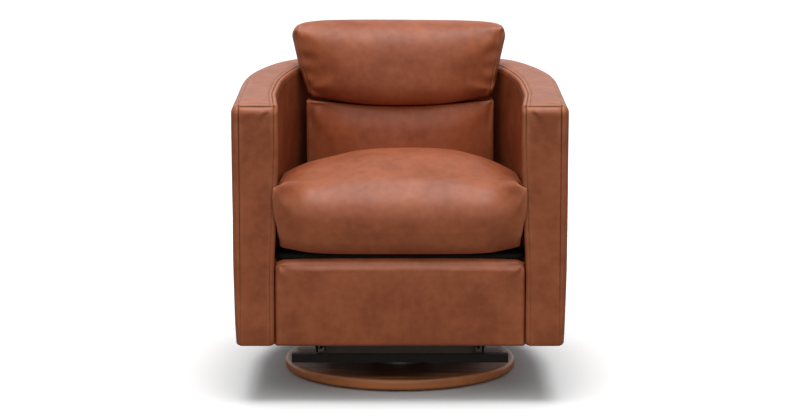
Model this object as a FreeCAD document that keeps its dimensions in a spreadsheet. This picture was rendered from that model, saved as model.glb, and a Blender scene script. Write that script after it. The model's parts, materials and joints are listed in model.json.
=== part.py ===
import FreeCAD, Part
import math
import os
import re
import Sketcher

from FreeCAD import Placement, Rotation, Vector

# Driving dimensions, in millimetres and degrees
SIZES = {
    # Round wooden base
    "disc_diameter": 560,
    "disc_thickness": 26,
    "disc_edge_radius": 9,
    "glide_height": 4,
    "glide_diameter": 28,
    "glide_circle_radius": 240,
    # Swivel bearing
    "race_diameter": 210,
    "race_thickness": 6,
    "race_spacing": 8,
    "ball_diameter": 10,
    "ball_circle_radius": 90,
    "ball_clearance": 0.2,
    "cage_thickness": 2,
    "cage_width": 18,
    "king_bolt_diameter": 14,
    "king_head_diameter": 28,
    "king_head_height": 8,
    "king_head_room": 2,
    "king_nut_height": 11,
    "king_bolt_proud": 3,
    "washer_thickness": 2,
    "washer_diameter": 36,
    "screw_diameter": 5,
    "screw_head_diameter": 10,
    "screw_head_height": 3,
    "screw_length": 20,
    "screw_circle_radius": 58.8,
    # Fits
    "fit_clearance": 0.05,
    "running_clearance": 0.08,
    "face_gap": 0.3,
    # Turning carriage
    "bar_length": 516,
    "bar_section": 20,
    "bar_distance": 150,
    "bearer_height": 16,
    "bearer_width": 36,
    "bearer_distance": 60,
    "bearer_bolt_distance": 36,
    "bolt_diameter": 8,
    "bolt_head_diameter": 14,
    "bolt_head_height": 5,
    "bolt_end_gap": 1,
    "plate_thickness": 4,
    "carriage_half_width": 181,
    "brace_height": 36,
    # Glide links
    "upper_pivot_height": 205,
    "pivot_distance": 130,
    "pivot_eye_radius": 17,
    "link_length": 120,
    "link_width": 26,
    "link_thickness": 5,
    "pivot_gap": 5,
    "pin_diameter": 12,
    "pin_head_diameter": 20,
    "pin_head_height": 3,
    "bush_wall": 2,
    "bush_flange_width": 4,
    "glide_angle": 28,
    "bumper_diameter": 14,
    "bumper_drop": 70,
    "bumper_gap": 0.5,
    # Hanging platform
    "mechanism_headroom": 10,
    "flange_width": 44,
    "platform_bolt_length": 38,
    "platform_bolt_spacing": 92,
    # Seat frame
    "dust_cover_thickness": 2,
    "dust_cover_lap": 12,
    "seat_rail_height": 90,
    "seat_rail_thickness": 32,
    "front_rail_thickness": 25,
    "front_rail_drop": 74,
    "back_rail_thickness": 25,
    "back_rail_side_room": 78.5,
    "back_rail_setback": 46,
    "corner_block_leg": 60,
    "corner_block_height": 60,
    # Seat springs and deck
    "spring_spacing": 80,
    "spring_wire_diameter": 4,
    "spring_swing": 20,
    "spring_pitch": 24,
    "clip_width": 22,
    "clip_depth": 16,
    "clip_height": 7,
    "deck_thickness": 15,
    "deck_margin": 14,
    # Tub outline
    "tub_width": 755,
    "arm_front_distance": 400,
    "tub_back_distance": 421,
    "tub_bottom": 140,
    "rim_front_height": 689,
    "rim_rise": 38,
    "shoulder_radius": 840,
    "shoulder_angle": 21,
    "corner_radius": 190,
    "corner_angle": 60,
    "wall_thickness": 84,
    # Tub frame
    "base_rail_height": 40,
    "base_rail_width": 30,
    "base_rail_inset": 2,
    "top_rail_height": 20,
    "front_post_depth": 50,
    "wall_post_width": 45,
    "back_post_inset": 60,
    "back_post_depth": 28,
    # Upholstery
    "cover_thickness": 5,
    "inside_pad_thickness": 22,
    "rim_pad_thickness": 14,
    "rim_edge_radius": 8,
    "arm_front_width": 97,
    "arm_front_depth": 25,
    "arm_flare_length": 170,
    "arm_edge_radius": 8,
    "arm_foot_radius": 20,
    "front_pad_depth": 30,
    "front_pad_rise": 16,
    "front_pad_lift": 1,
    "front_pad_gap": 2,
    "front_pad_radius": 14,
    # Loose cushions
    "seat_overhang": 21,
    "seat_side_gap": 6,
    "seat_edge_height": 157,
    "seat_crown_rise": 66,
    "seat_side_bow": 3,
    "seat_side_tuck": 8,
    "seat_front_rounding": 96,
    "seat_front_fall": 84,
    "seat_ear_rounding": 16,
    "seat_foot_rounding": 40,
    "seat_foot_lift": 55,
    "seat_back_rounding": 44,
    "seat_back_gap": 8,
    "seat_back_draw": 12,
    "seat_back_fall": 26,
    "seat_end_draw": 7,
    "cushion_foot_trim": 8,
    "back_cushion_puff": 14,
    "lumbar_height": 287.4,
    "lumbar_depth": 210,
    "lumbar_back_gap": 13,
    "lumbar_side_room": 53.5,
    "lumbar_taper": 4,
    "lumbar_bulge": 4,
    "pillow_height": 203.7,
    "pillow_depth": 188,
    "pillow_back_gap": 45,
    "pillow_side_room": 27.5,
    "pillow_taper": 26,
    "pillow_bulge": 26,
    "pillow_corner": 22,
}

# Levels and layers, each worked out from the sizes above
DISC_TOP = "(glide_height + disc_thickness)"
KING_HEAD_LOW = "(glide_height + king_head_room)"
KING_HEAD_TOP = f"({KING_HEAD_LOW} + king_head_height)"
LOWER_RACE_TOP = f"({DISC_TOP} + race_thickness)"
BALL_LEVEL = f"({LOWER_RACE_TOP} + race_spacing / 2)"
UPPER_RACE_LOW = f"({LOWER_RACE_TOP} + race_spacing)"
UPPER_RACE_TOP = f"({UPPER_RACE_LOW} + race_thickness)"
CARRIAGE_TOP = f"({UPPER_RACE_TOP} + bearer_height)"
LOWER_PIVOT_HEIGHT = "(upper_pivot_height - link_length)"
CARRIAGE_SIDE_TOP = "(upper_pivot_height + pivot_eye_radius)"
PLATFORM_TOP = f"({CARRIAGE_SIDE_TOP} + mechanism_headroom)"
PLATFORM_LOW = f"({LOWER_PIVOT_HEIGHT} - pivot_eye_radius)"
SIDE_LENGTH = "(2 * pivot_distance + 4 * pivot_eye_radius)"
SIDE_INNER = "(carriage_half_width - plate_thickness)"
LINK_INNER = "(carriage_half_width + pivot_gap)"
LINK_OUTER = f"({LINK_INNER} + link_thickness)"
PLATFORM_INNER = f"({LINK_OUTER} + pivot_gap)"
PLATFORM_OUTER = f"({PLATFORM_INNER} + plate_thickness)"
PLATFORM_BOLT_LINE = f"({PLATFORM_INNER} + flange_width / 2 + plate_thickness)"
BUSH_RADIUS = "(pin_diameter / 2 + running_clearance + bush_wall)"
SEAT_RAIL_LOW = f"({PLATFORM_TOP} + dust_cover_thickness)"
SEAT_RAIL_TOP = f"({SEAT_RAIL_LOW} + seat_rail_height)"
SEAT_RAIL_OUTER = f"({PLATFORM_BOLT_LINE} + seat_rail_thickness / 2)"
SEAT_RAIL_INNER = f"({PLATFORM_BOLT_LINE} - seat_rail_thickness / 2)"
FRONT_RAIL_BACK = "(arm_front_distance - front_pad_depth - front_rail_thickness)"
BACK_RAIL_BACK = "(tub_back_distance - back_rail_setback)"
BACK_RAIL_FRONT = f"({BACK_RAIL_BACK} - back_rail_thickness)"
BACK_RAIL_HALF = "(tub_width / 2 - wall_thickness - back_rail_side_room)"
BACK_POST_INNER = f"({BACK_RAIL_HALF} - back_post_inset - wall_post_width)"
CLIP_TOP = f"({SEAT_RAIL_TOP} + clip_height)"
DECK_LOW = f"({CLIP_TOP} + face_gap)"
DECK_TOP = f"({DECK_LOW} + deck_thickness)"
WALL_INNER = "(tub_width / 2 - wall_thickness)"
PAD_OUTER = f"({WALL_INNER} + inside_pad_thickness)"
SEAT_HALF = "(tub_width / 2 - arm_front_width)"
POST_FRONT = "(arm_front_distance - arm_front_depth)"
BASE_RAIL_LOW = "(tub_bottom + base_rail_inset)"
BASE_RAIL_TOP = f"({BASE_RAIL_LOW} + base_rail_height)"
BASE_RAIL_INNER = "(tub_width / 2 - cover_thickness - base_rail_width)"
FRONT_PAD_TOP = f"({SEAT_RAIL_TOP} + front_pad_rise)"
CUSHION_LOW = f"({DECK_TOP} + face_gap)"
BACK_INNER = "(tub_back_distance - wall_thickness)"
LUMBAR_TOP = f"({CUSHION_LOW} + lumbar_height)"
LUMBAR_BACK = f"({BACK_INNER} - lumbar_back_gap)"
LUMBAR_FRONT = f"({LUMBAR_BACK} - lumbar_depth)"
PILLOW_LOW = f"({LUMBAR_TOP} + face_gap)"
PILLOW_TOP = f"({PILLOW_LOW} + pillow_height)"
PILLOW_BACK = f"({BACK_INNER} - pillow_back_gap)"
PILLOW_FRONT = f"({PILLOW_BACK} - pillow_depth)"
SEAT_BACK = f"({LUMBAR_FRONT} - seat_back_gap)"

# Shapes of the loose cushions, as shares of their sizes
ROUNDING_TURNS = (0, 20, 40, 60, 90)
MIDDLE_SHARES = (0.25, 0.5, 0.75)
SEAT_SHARES = (1, 0.93, 0.8, 0.5, 0)
SEAT_REAR_CROWN = 0.3
REAR_SWELL = 0.3
FOOT_PUFF = 0.4

# Back cushion from its middle to one side: share of the half width, drop of the edges in millimetres,
# shares of the depth by which the front and the back draw in, and share of the swell
BACK_STATIONS = (
    (0, 0, 0, 0, 1),
    (0.45, 1, 0.01, 0.03, 0.95),
    (0.75, 4, 0.04, 0.12, 0.85),
    (0.93, 7, 0.15, 0.25, 0.6),
    (1, 14, 0.3, 0.34, 0.3),
)

# Distance within which an edge counts as lying on a face, in millimetres
EDGE_TOLERANCE = 0.01

SIDES = (("left", -1), ("right", 1))
ENDS = (("front", -1), ("rear", 1))

doc = FreeCAD.newDocument("swivel_glider_chair")
sheet = doc.addObject("Spreadsheet::Sheet", "dims")
for row, (alias, number) in enumerate(SIZES.items(), start=1):
    sheet.set(f"A{row}", alias)
    sheet.set(f"B{row}", str(number))
    sheet.setAlias(f"B{row}", alias)
doc.recompute()

pieces = []


def formula(text):
    """Point each size named in a formula at its cell."""
    return re.sub(r"\b[a-z]+(?:_[a-z]+)+\b", r"dims.\g<0>", str(text))


def size(text):
    """Work out a formula as a number."""
    return float(sheet.evalExpression(formula(text)))


def piece(item, label):
    """Name a finished sub-part and keep it for writing."""
    item.Label = label
    pieces.append(item)
    return item


def bind(item, **formulas):
    """Drive properties of an object by formulas."""
    for name, text in formulas.items():
        item.setExpression(name, formula(text))


def place(item, x, y, z):
    """Drive the position of an object by formulas."""
    for name, text in (("x", x), ("y", y), ("z", z)):
        item.setExpression(f"Placement.Base.{name}", formula(text))


def block(name, low, spans):
    """Box from a low corner with three spans."""
    item = doc.addObject("Part::Box", name)
    bind(item, Length=spans[0], Width=spans[1], Height=spans[2])
    place(item, *low)
    return item


def rod(name, start, radius, length, axis="z"):
    """Cylinder from a start point along one axis."""
    item = doc.addObject("Part::Cylinder", name)
    bind(item, Radius=radius, Height=length)
    if axis == "x":
        item.Placement = Placement(Vector(), Rotation(Vector(0, 1, 0), 90))
    place(item, *start)
    return item


def joined(name, items):
    """One solid fused from several."""
    item = doc.addObject("Part::MultiFuse", name)
    item.Shapes = items
    return item


def cut(name, base, tools):
    """A solid with several others taken away."""
    item = doc.addObject("Part::Cut", name)
    item.Base = base
    item.Tool = tools[0] if len(tools) == 1 else joined(f"{name}_tools", tools)
    return item


def group(name, items):
    """Separate like solids kept together."""
    item = doc.addObject("Part::Compound", name)
    item.Links = items
    return item


def reach(sign, inner, span):
    """Low end of a span that lies from an inner distance outward on one side."""
    return inner if sign > 0 else f"-({inner} + {span})"


def screw_places():
    """Places of the screws that hold the lower race to the disc."""
    turns = ((1, 0), (-1, 0), (0, 1), (0, -1))
    return [(f"screw_circle_radius * {along}", f"screw_circle_radius * {across}") for along, across in turns]


def bearer_bolt_places(sign):
    """Places of the bolts through the bearer on one side."""
    return [(f"{sign} * bearer_distance", f"{step} * bearer_bolt_distance") for _, step in ENDS]


def platform_bolt_places(sign):
    """Places of the bolts along one side of the platform."""
    line = f"{sign} * {PLATFORM_BOLT_LINE}"
    return [(line, f"{step} * platform_bolt_spacing") for step in (-1.5, -0.5, 0.5, 1.5)]


def on_side(shape, sign):
    """Mirror a shape made on the right to the left."""
    return shape if sign > 0 else shape.mirror(Vector(), Vector(1, 0, 0))


def stepped(name, sign, centre, steps, axis="x"):
    """Fuse coaxial rods, each given by start, length and radius, on one side."""
    rods = []
    for index, (start, length, radius) in enumerate(steps):
        if axis == "x":
            point = (reach(sign, start, length), *centre)
        else:
            point = (*centre, start)
        rods.append(rod(f"{name}_step{index}", point, radius, length, axis))
    return joined(name, rods)


def new_sketch(body, role):
    """Sketch on one of a body's own origin planes."""
    plane = next(item for item in body.Origin.OriginFeatures if item.Role == role)
    sketch = body.newObject("Sketcher::SketchObject", f"{body.Name}_sketch")
    sketch.AttachmentSupport = (plane, [""])
    sketch.MapMode = "FlatFace"
    return sketch


def hold_point(sketch, curve, end, across, up):
    """Fix a sketch point at a place given by two formulas."""
    for kind, text, axis in (("DistanceX", across, -2), ("DistanceY", up, -1)):
        if text == "0":
            sketch.addConstraint(Sketcher.Constraint("PointOnObject", curve, end, axis))
            continue
        rule = Sketcher.Constraint(kind, -1, 1, curve, end, size(text))
        index = sketch.addConstraint(rule)
        sketch.setExpression(f"Constraints[{index}]", formula(text))


def add_outline(sketch, points):
    """Closed polygon through points given as pairs of formulas."""
    spots = [Vector(size(across), size(up), 0) for across, up in points]
    count = len(spots)
    for index in range(count):
        sketch.addGeometry(Part.LineSegment(spots[index], spots[(index + 1) % count]), False)
    for index in range(count):
        rule = Sketcher.Constraint("Coincident", index, 2, (index + 1) % count, 1)
        sketch.addConstraint(rule)
    for index, (across, up) in enumerate(points):
        hold_point(sketch, index, 1, across, up)


def add_circle(sketch, across, up, radius):
    """Circle at a place given by formulas."""
    centre = Vector(size(across), size(up), 0)
    curve = sketch.addGeometry(Part.Circle(centre, Vector(0, 0, 1), size(radius)), False)
    hold_point(sketch, curve, 3, across, up)
    index = sketch.addConstraint(Sketcher.Constraint("Radius", curve, size(radius)))
    sketch.setExpression(f"Constraints[{index}]", formula(radius))


def turned(name, points):
    """Body turned about the vertical axis from a closed outline of radius and height."""
    body = doc.addObject("PartDesign::Body", name)
    sketch = new_sketch(body, "XZ_Plane")
    add_outline(sketch, points)
    turn = body.newObject("PartDesign::Revolution", f"{name}_turn")
    turn.Profile = sketch
    turn.ReferenceAxis = (sketch, ["V_Axis"])
    turn.Angle = 360
    doc.recompute()
    return body


def side_plate(name, left_face, thickness, points, holes):
    """Upright plate across the width, with round holes given by place and radius."""
    body = doc.addObject("PartDesign::Body", name)
    sketch = new_sketch(body, "YZ_Plane")
    add_outline(sketch, points)
    for across, up, radius in holes:
        add_circle(sketch, across, up, radius)
    pad = body.newObject("PartDesign::Pad", f"{name}_pad")
    pad.Profile = sketch
    bind(pad, Length=thickness)
    bind(body, **{"Placement.Base.x": left_face})
    return body


def made(name, shape):
    """Feature that holds a shape worked out in code."""
    item = doc.addObject("Part::Feature", name)
    item.Shape = shape
    item.Placement = Placement()
    return item


# Round base
def build_base():
    glides = []
    for index in range(6):
        turn = math.radians(60 * index)
        start = (f"glide_circle_radius * {math.cos(turn)}", f"glide_circle_radius * {math.sin(turn)}", "0")
        glides.append(rod(f"glide_{index}", start, "glide_diameter / 2", "glide_height"))
    piece(group("glides", glides), "floor_glides")

    bore = "(king_bolt_diameter / 2 + fit_clearance)"
    recess = "(king_head_diameter / 2 + king_head_room)"
    disc = turned("disc", [
        (recess, "glide_height"),
        ("disc_diameter / 2", "glide_height"),
        ("disc_diameter / 2", DISC_TOP),
        (bore, DISC_TOP),
        (bore, KING_HEAD_TOP),
        (recess, KING_HEAD_TOP),
    ])
    turn = disc.Tip
    outer = size("disc_diameter / 2")
    names = []
    for index, edge in enumerate(turn.Shape.Edges, start=1):
        if hasattr(edge.Curve, "Radius") and abs(edge.Curve.Radius - outer) < EDGE_TOLERANCE:
            names.append(f"Edge{index}")
    rim = disc.newObject("PartDesign::Fillet", "disc_rounding")
    rim.Base = (turn, names)
    bind(rim, Radius="disc_edge_radius")

    bored = []
    screws = []
    floor = f"{LOWER_RACE_TOP} - screw_length"
    for index, centre in enumerate(screw_places()):
        loose = "screw_diameter / 2 + fit_clearance"
        bored.append(rod(f"screw_hole_{index}", (*centre, floor), loose, "screw_length"))
        screws.append(stepped(f"screw_{index}", 1, centre, [
            (floor, "screw_length", "screw_diameter / 2"),
            (f"{LOWER_RACE_TOP} - screw_head_height", "screw_head_height", "screw_head_diameter / 2"),
        ], axis="z"))
    piece(cut("drilled_disc", disc, bored), "base_disc")
    piece(group("screws", screws), "bearing_screws")


def race_outline(low, high, bore):
    """Flat ring outline between two heights."""
    return [
        (bore, low),
        ("race_diameter / 2", low),
        ("race_diameter / 2", high),
        (bore, high),
    ]


def ball_track(name):
    """Ring of round section that the balls run in."""
    item = doc.addObject("Part::Torus", name)
    bind(item, Radius1="ball_circle_radius", Radius2="ball_diameter / 2 + ball_clearance")
    place(item, "0", "0", BALL_LEVEL)
    return item


# Swivel bearing and its centre bolt
def build_bearing():
    bore = "(king_bolt_diameter / 2 + fit_clearance)"
    lower = turned("lower_ring", race_outline(DISC_TOP, LOWER_RACE_TOP, bore))
    holes = []
    for index, centre in enumerate(screw_places()):
        head = f"{LOWER_RACE_TOP} - screw_head_height"
        shank = "screw_diameter / 2 + fit_clearance"
        seat = "screw_head_diameter / 2 + fit_clearance"
        holes.append(rod(f"race_hole_{index}", (*centre, DISC_TOP), shank, "race_thickness"))
        holes.append(rod(f"race_seat_{index}", (*centre, head), seat, "screw_head_height"))
    piece(cut("grooved_lower", lower, [ball_track("lower_track"), *holes]), "lower_race")

    running = "(king_bolt_diameter / 2 + running_clearance)"
    upper = turned("upper_ring", race_outline(UPPER_RACE_LOW, UPPER_RACE_TOP, running))
    taps = []
    for index, centre in enumerate(bearer_bolt_places(-1) + bearer_bolt_places(1)):
        loose = "bolt_diameter / 2 + fit_clearance"
        taps.append(rod(f"race_tap_{index}", (*centre, UPPER_RACE_LOW), loose, "race_thickness"))
    piece(cut("grooved_upper", upper, [ball_track("upper_track"), *taps]), "upper_race")

    inner = "(ball_circle_radius - cage_width / 2)"
    outer = "(ball_circle_radius + cage_width / 2)"
    low = f"({BALL_LEVEL} - cage_thickness / 2)"
    ring = turned("cage_ring", [
        (inner, low),
        (outer, low),
        (outer, f"{low} + cage_thickness"),
        (inner, f"{low} + cage_thickness"),
    ])
    balls = []
    windows = []
    for index in range(18):
        turn = math.radians(20 * index)
        centre = (f"ball_circle_radius * {math.cos(turn)}", f"ball_circle_radius * {math.sin(turn)}")
        ball = doc.addObject("Part::Sphere", f"ball_{index}")
        bind(ball, Radius="ball_diameter / 2")
        place(ball, *centre, BALL_LEVEL)
        balls.append(ball)
        loose = "ball_diameter / 2 + ball_clearance"
        windows.append(rod(f"window_{index}", (*centre, low), loose, "cage_thickness"))
    piece(cut("cage", ring, windows), "ball_cage")
    piece(group("balls", balls), "bearing_balls")

    washer_low = f"({UPPER_RACE_TOP} + face_gap)"
    nut_low = f"({washer_low} + washer_thickness)"
    bolt_top = f"({nut_low} + king_nut_height + king_bolt_proud)"
    piece(turned("king", [
        ("0", KING_HEAD_LOW),
        ("king_head_diameter / 2", KING_HEAD_LOW),
        ("king_head_diameter / 2", KING_HEAD_TOP),
        ("king_bolt_diameter / 2", KING_HEAD_TOP),
        ("king_bolt_diameter / 2", bolt_top),
        ("0", bolt_top),
    ]), "king_bolt")
    seat = "(king_bolt_diameter / 2 + fit_clearance)"
    piece(turned("washer", [
        (seat, washer_low),
        ("washer_diameter / 2", washer_low),
        ("washer_diameter / 2", nut_low),
        (seat, nut_low),
    ]), "king_washer")
    nut = doc.addObject("Part::Prism", "nut_blank")
    nut.Polygon = 6
    bind(nut, Circumradius="king_head_diameter / 2", Height="king_nut_height")
    place(nut, "0", "0", nut_low)
    hole = rod("nut_hole", ("0", "0", nut_low), seat, "king_nut_height")
    piece(cut("nut", nut, [hole]), "king_nut")


# Carriage that turns on the bearing
def build_carriage():
    for name, sign in ENDS:
        line = f"{sign} * bar_distance"
        low = ("-bar_length / 2", f"{line} - bar_section / 2", f"{CARRIAGE_TOP} - bar_section")
        bar = block(f"bar_{name}", low, ("bar_length", "bar_section", "bar_section"))
        piece(bar, f"carriage_bar_{name}")
        brace = block(f"brace_{name}", (f"-{SIDE_INNER}", f"{line} - plate_thickness / 2", CARRIAGE_TOP),
                      (f"2 * {SIDE_INNER}", "plate_thickness", "brace_height"))
        piece(brace, f"carriage_brace_{name}")

    bolts = []
    for name, sign in SIDES:
        start = "-bar_distance + bar_section / 2"
        low = (f"{sign} * bearer_distance - bearer_width / 2", start, UPPER_RACE_TOP)
        spans = ("bearer_width", "2 * bar_distance - bar_section", "bearer_height")
        beam = block(f"beam_{name}", low, spans)
        holes = []
        for index, centre in enumerate(bearer_bolt_places(sign)):
            loose = "bolt_diameter / 2 + fit_clearance"
            holes.append(rod(f"beam_hole_{name}_{index}", (*centre, UPPER_RACE_TOP), loose, "bearer_height"))
            shank = "race_thickness - bolt_end_gap + bearer_height"
            bolts.append(stepped(f"beam_bolt_{name}_{index}", 1, centre, [
                (f"{UPPER_RACE_LOW} + bolt_end_gap", shank, "bolt_diameter / 2"),
                (CARRIAGE_TOP, "bolt_head_height", "bolt_head_diameter / 2"),
            ], axis="z"))
        piece(cut(f"drilled_beam_{name}", beam, holes), f"carriage_bearer_{name}")
    piece(group("beam_bolts", bolts), "carriage_bolts")

    half = f"{SIDE_LENGTH} / 2"
    shoulder = f"{half} - 2 * pivot_eye_radius"
    for name, sign in SIDES:
        hole = "pin_diameter / 2 + fit_clearance"
        left_face = reach(sign, SIDE_INNER, "plate_thickness")
        plate = side_plate(f"cheek_{name}", left_face, "plate_thickness", [
            (f"-({half})", CARRIAGE_TOP),
            (half, CARRIAGE_TOP),
            (f"{shoulder} + pivot_eye_radius", CARRIAGE_SIDE_TOP),
            (f"-({shoulder} + pivot_eye_radius)", CARRIAGE_SIDE_TOP),
        ], [("-pivot_distance", "upper_pivot_height", hole), ("pivot_distance", "upper_pivot_height", hole)])
        piece(plate, f"carriage_side_{name}")

    pins = []
    stops = []
    apart = "((link_width + bumper_diameter) / 2 + bumper_gap)"
    reach_back = f"(bumper_drop * sin(glide_angle) + {apart} / cos(glide_angle))"
    stop_length = "pivot_gap + link_thickness"
    stop_level = "upper_pivot_height - bumper_drop * cos(glide_angle)"
    for side, sign in SIDES:
        for end, step in ENDS:
            centre = (f"{step} * pivot_distance", "upper_pivot_height")
            head = f"({SIDE_INNER} - pin_head_height)"
            shank = "pin_head_height + plate_thickness + pivot_gap + link_thickness + face_gap"
            pins.append(stepped(f"upper_pin_{side}_{end}", sign, centre, [
                (head, "pin_head_height", "pin_head_diameter / 2"),
                (head, shank, "pin_diameter / 2"),
                (f"({LINK_OUTER} + face_gap)", "pin_head_height", "pin_head_diameter / 2"),
            ]))
            line = f"{step} * (pivot_distance - {reach_back})"
            stop = (reach(sign, "carriage_half_width", stop_length), line, stop_level)
            stops.append(rod(f"stop_{side}_{end}", stop, "bumper_diameter / 2", stop_length, "x"))
    piece(group("upper_pins", pins), "upper_pivot_pins")
    piece(group("stops", stops), "stop_bumpers")


def build_link(name, sign, step):
    """Flat bar with round ends and a bushed eye at each."""
    body = doc.addObject("PartDesign::Body", name)
    sketch = new_sketch(body, "YZ_Plane")
    radius = size("link_width / 2")
    drop = size("link_length")
    up = Vector(0, 0, 1)
    low = Vector(0, -drop, 0)
    sketch.addGeometry(Part.ArcOfCircle(Part.Circle(Vector(), up, radius), 0, math.pi), False)
    sketch.addGeometry(Part.LineSegment(Vector(-radius, 0, 0), Vector(-radius, -drop, 0)), False)
    sketch.addGeometry(Part.ArcOfCircle(Part.Circle(low, up, radius), math.pi, 2 * math.pi), False)
    sketch.addGeometry(Part.LineSegment(Vector(radius, -drop, 0), Vector(radius, 0, 0)), False)
    for curve in range(4):
        sketch.addConstraint(Sketcher.Constraint("Tangent", curve, 2, (curve + 1) % 4, 1))
    sketch.addConstraint(Sketcher.Constraint("Equal", 0, 2))
    sketch.addConstraint(Sketcher.Constraint("Coincident", 0, 3, -1, 1))
    hold_point(sketch, 2, 3, "0", "-link_length")
    index = sketch.addConstraint(Sketcher.Constraint("Radius", 0, radius))
    sketch.setExpression(f"Constraints[{index}]", formula("link_width / 2"))
    for height in ("0", "-link_length"):
        add_circle(sketch, "0", height, f"{BUSH_RADIUS} + fit_clearance")
    pad = body.newObject("PartDesign::Pad", f"{name}_pad")
    pad.Profile = sketch
    bind(pad, Length="link_thickness")
    place(body, reach(sign, LINK_INNER, "link_thickness"), f"{step} * pivot_distance", "upper_pivot_height")
    return body


# Four hanging links
def build_links():
    flange = "(pivot_gap - face_gap)"
    sleeve = "link_thickness"
    rim = f"{BUSH_RADIUS} + bush_flange_width"
    for end, step in ENDS:
        bushes = []
        for side, sign in SIDES:
            piece(build_link(f"hanger_{end}_{side}", sign, step), f"link_{end}_{side}")
            places = (
                ("upper", "upper_pivot_height", f"({LINK_INNER} - {flange})"),
                ("lower", LOWER_PIVOT_HEIGHT, LINK_OUTER),
            )
            for level, height, start in places:
                name = f"bush_{end}_{side}_{level}"
                centre = (f"{step} * pivot_distance", height)
                solid = stepped(f"{name}_body", sign, centre, [
                    (LINK_INNER, sleeve, BUSH_RADIUS),
                    (start, flange, rim),
                ])
                first = LINK_INNER if level == "lower" else start
                hole = (reach(sign, first, f"{sleeve} + {flange}"), *centre)
                loose = "pin_diameter / 2 + running_clearance"
                bore = rod(f"{name}_bore", hole, loose, f"{sleeve} + {flange}", "x")
                bushes.append(cut(name, solid, [bore]))
        piece(group(f"{end}_bushes", bushes), f"link_bushes_{end}")


# Platform that hangs on the links and carries the chair
def build_platform():
    bolts = []
    pins = []
    half = f"{SIDE_LENGTH} / 2"
    for side, sign in SIDES:
        hole = "pin_diameter / 2 + fit_clearance"
        left_face = reach(sign, PLATFORM_INNER, "plate_thickness")
        wall = side_plate(f"hung_{side}", left_face, "plate_thickness", [
            (f"-({half} - pivot_eye_radius)", PLATFORM_LOW),
            (f"{half} - pivot_eye_radius", PLATFORM_LOW),
            (half, f"{PLATFORM_LOW} + 2 * pivot_eye_radius"),
            (half, PLATFORM_TOP),
            (f"-({half})", PLATFORM_TOP),
            (f"-({half})", f"{PLATFORM_LOW} + 2 * pivot_eye_radius"),
        ], [("-pivot_distance", LOWER_PIVOT_HEIGHT, hole), ("pivot_distance", LOWER_PIVOT_HEIGHT, hole)])
        under = f"{PLATFORM_TOP} - plate_thickness"
        low = (reach(sign, PLATFORM_INNER, "flange_width"), f"-({half})", under)
        flange = block(f"flange_{side}", low, ("flange_width", SIDE_LENGTH, "plate_thickness"))
        holes = []
        for index, centre in enumerate(platform_bolt_places(sign)):
            loose = "bolt_diameter / 2 + fit_clearance"
            holes.append(rod(f"flange_hole_{side}_{index}", (*centre, under), loose, "plate_thickness"))
            bolts.append(stepped(f"platform_bolt_{side}_{index}", 1, centre, [
                (f"{under} - bolt_head_height", "bolt_head_height", "bolt_head_diameter / 2"),
                (f"{under} - bolt_head_height", "platform_bolt_length", "bolt_diameter / 2"),
            ], axis="z"))
        whole = joined(f"angle_{side}", [wall, flange])
        piece(cut(f"drilled_angle_{side}", whole, holes), f"platform_side_{side}")
        for end, step in ENDS:
            centre = (f"{step} * pivot_distance", LOWER_PIVOT_HEIGHT)
            start = f"({LINK_INNER} - face_gap - pin_head_height)"
            shank = "2 * pin_head_height + face_gap + link_thickness + pivot_gap + plate_thickness"
            pins.append(stepped(f"lower_pin_{side}_{end}", sign, centre, [
                (start, "pin_head_height", "pin_head_diameter / 2"),
                (start, shank, "pin_diameter / 2"),
                (PLATFORM_OUTER, "pin_head_height", "pin_head_diameter / 2"),
            ]))
    piece(group("platform_bolt_set", bolts), "platform_bolts")
    piece(group("lower_pins", pins), "lower_pivot_pins")


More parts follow.
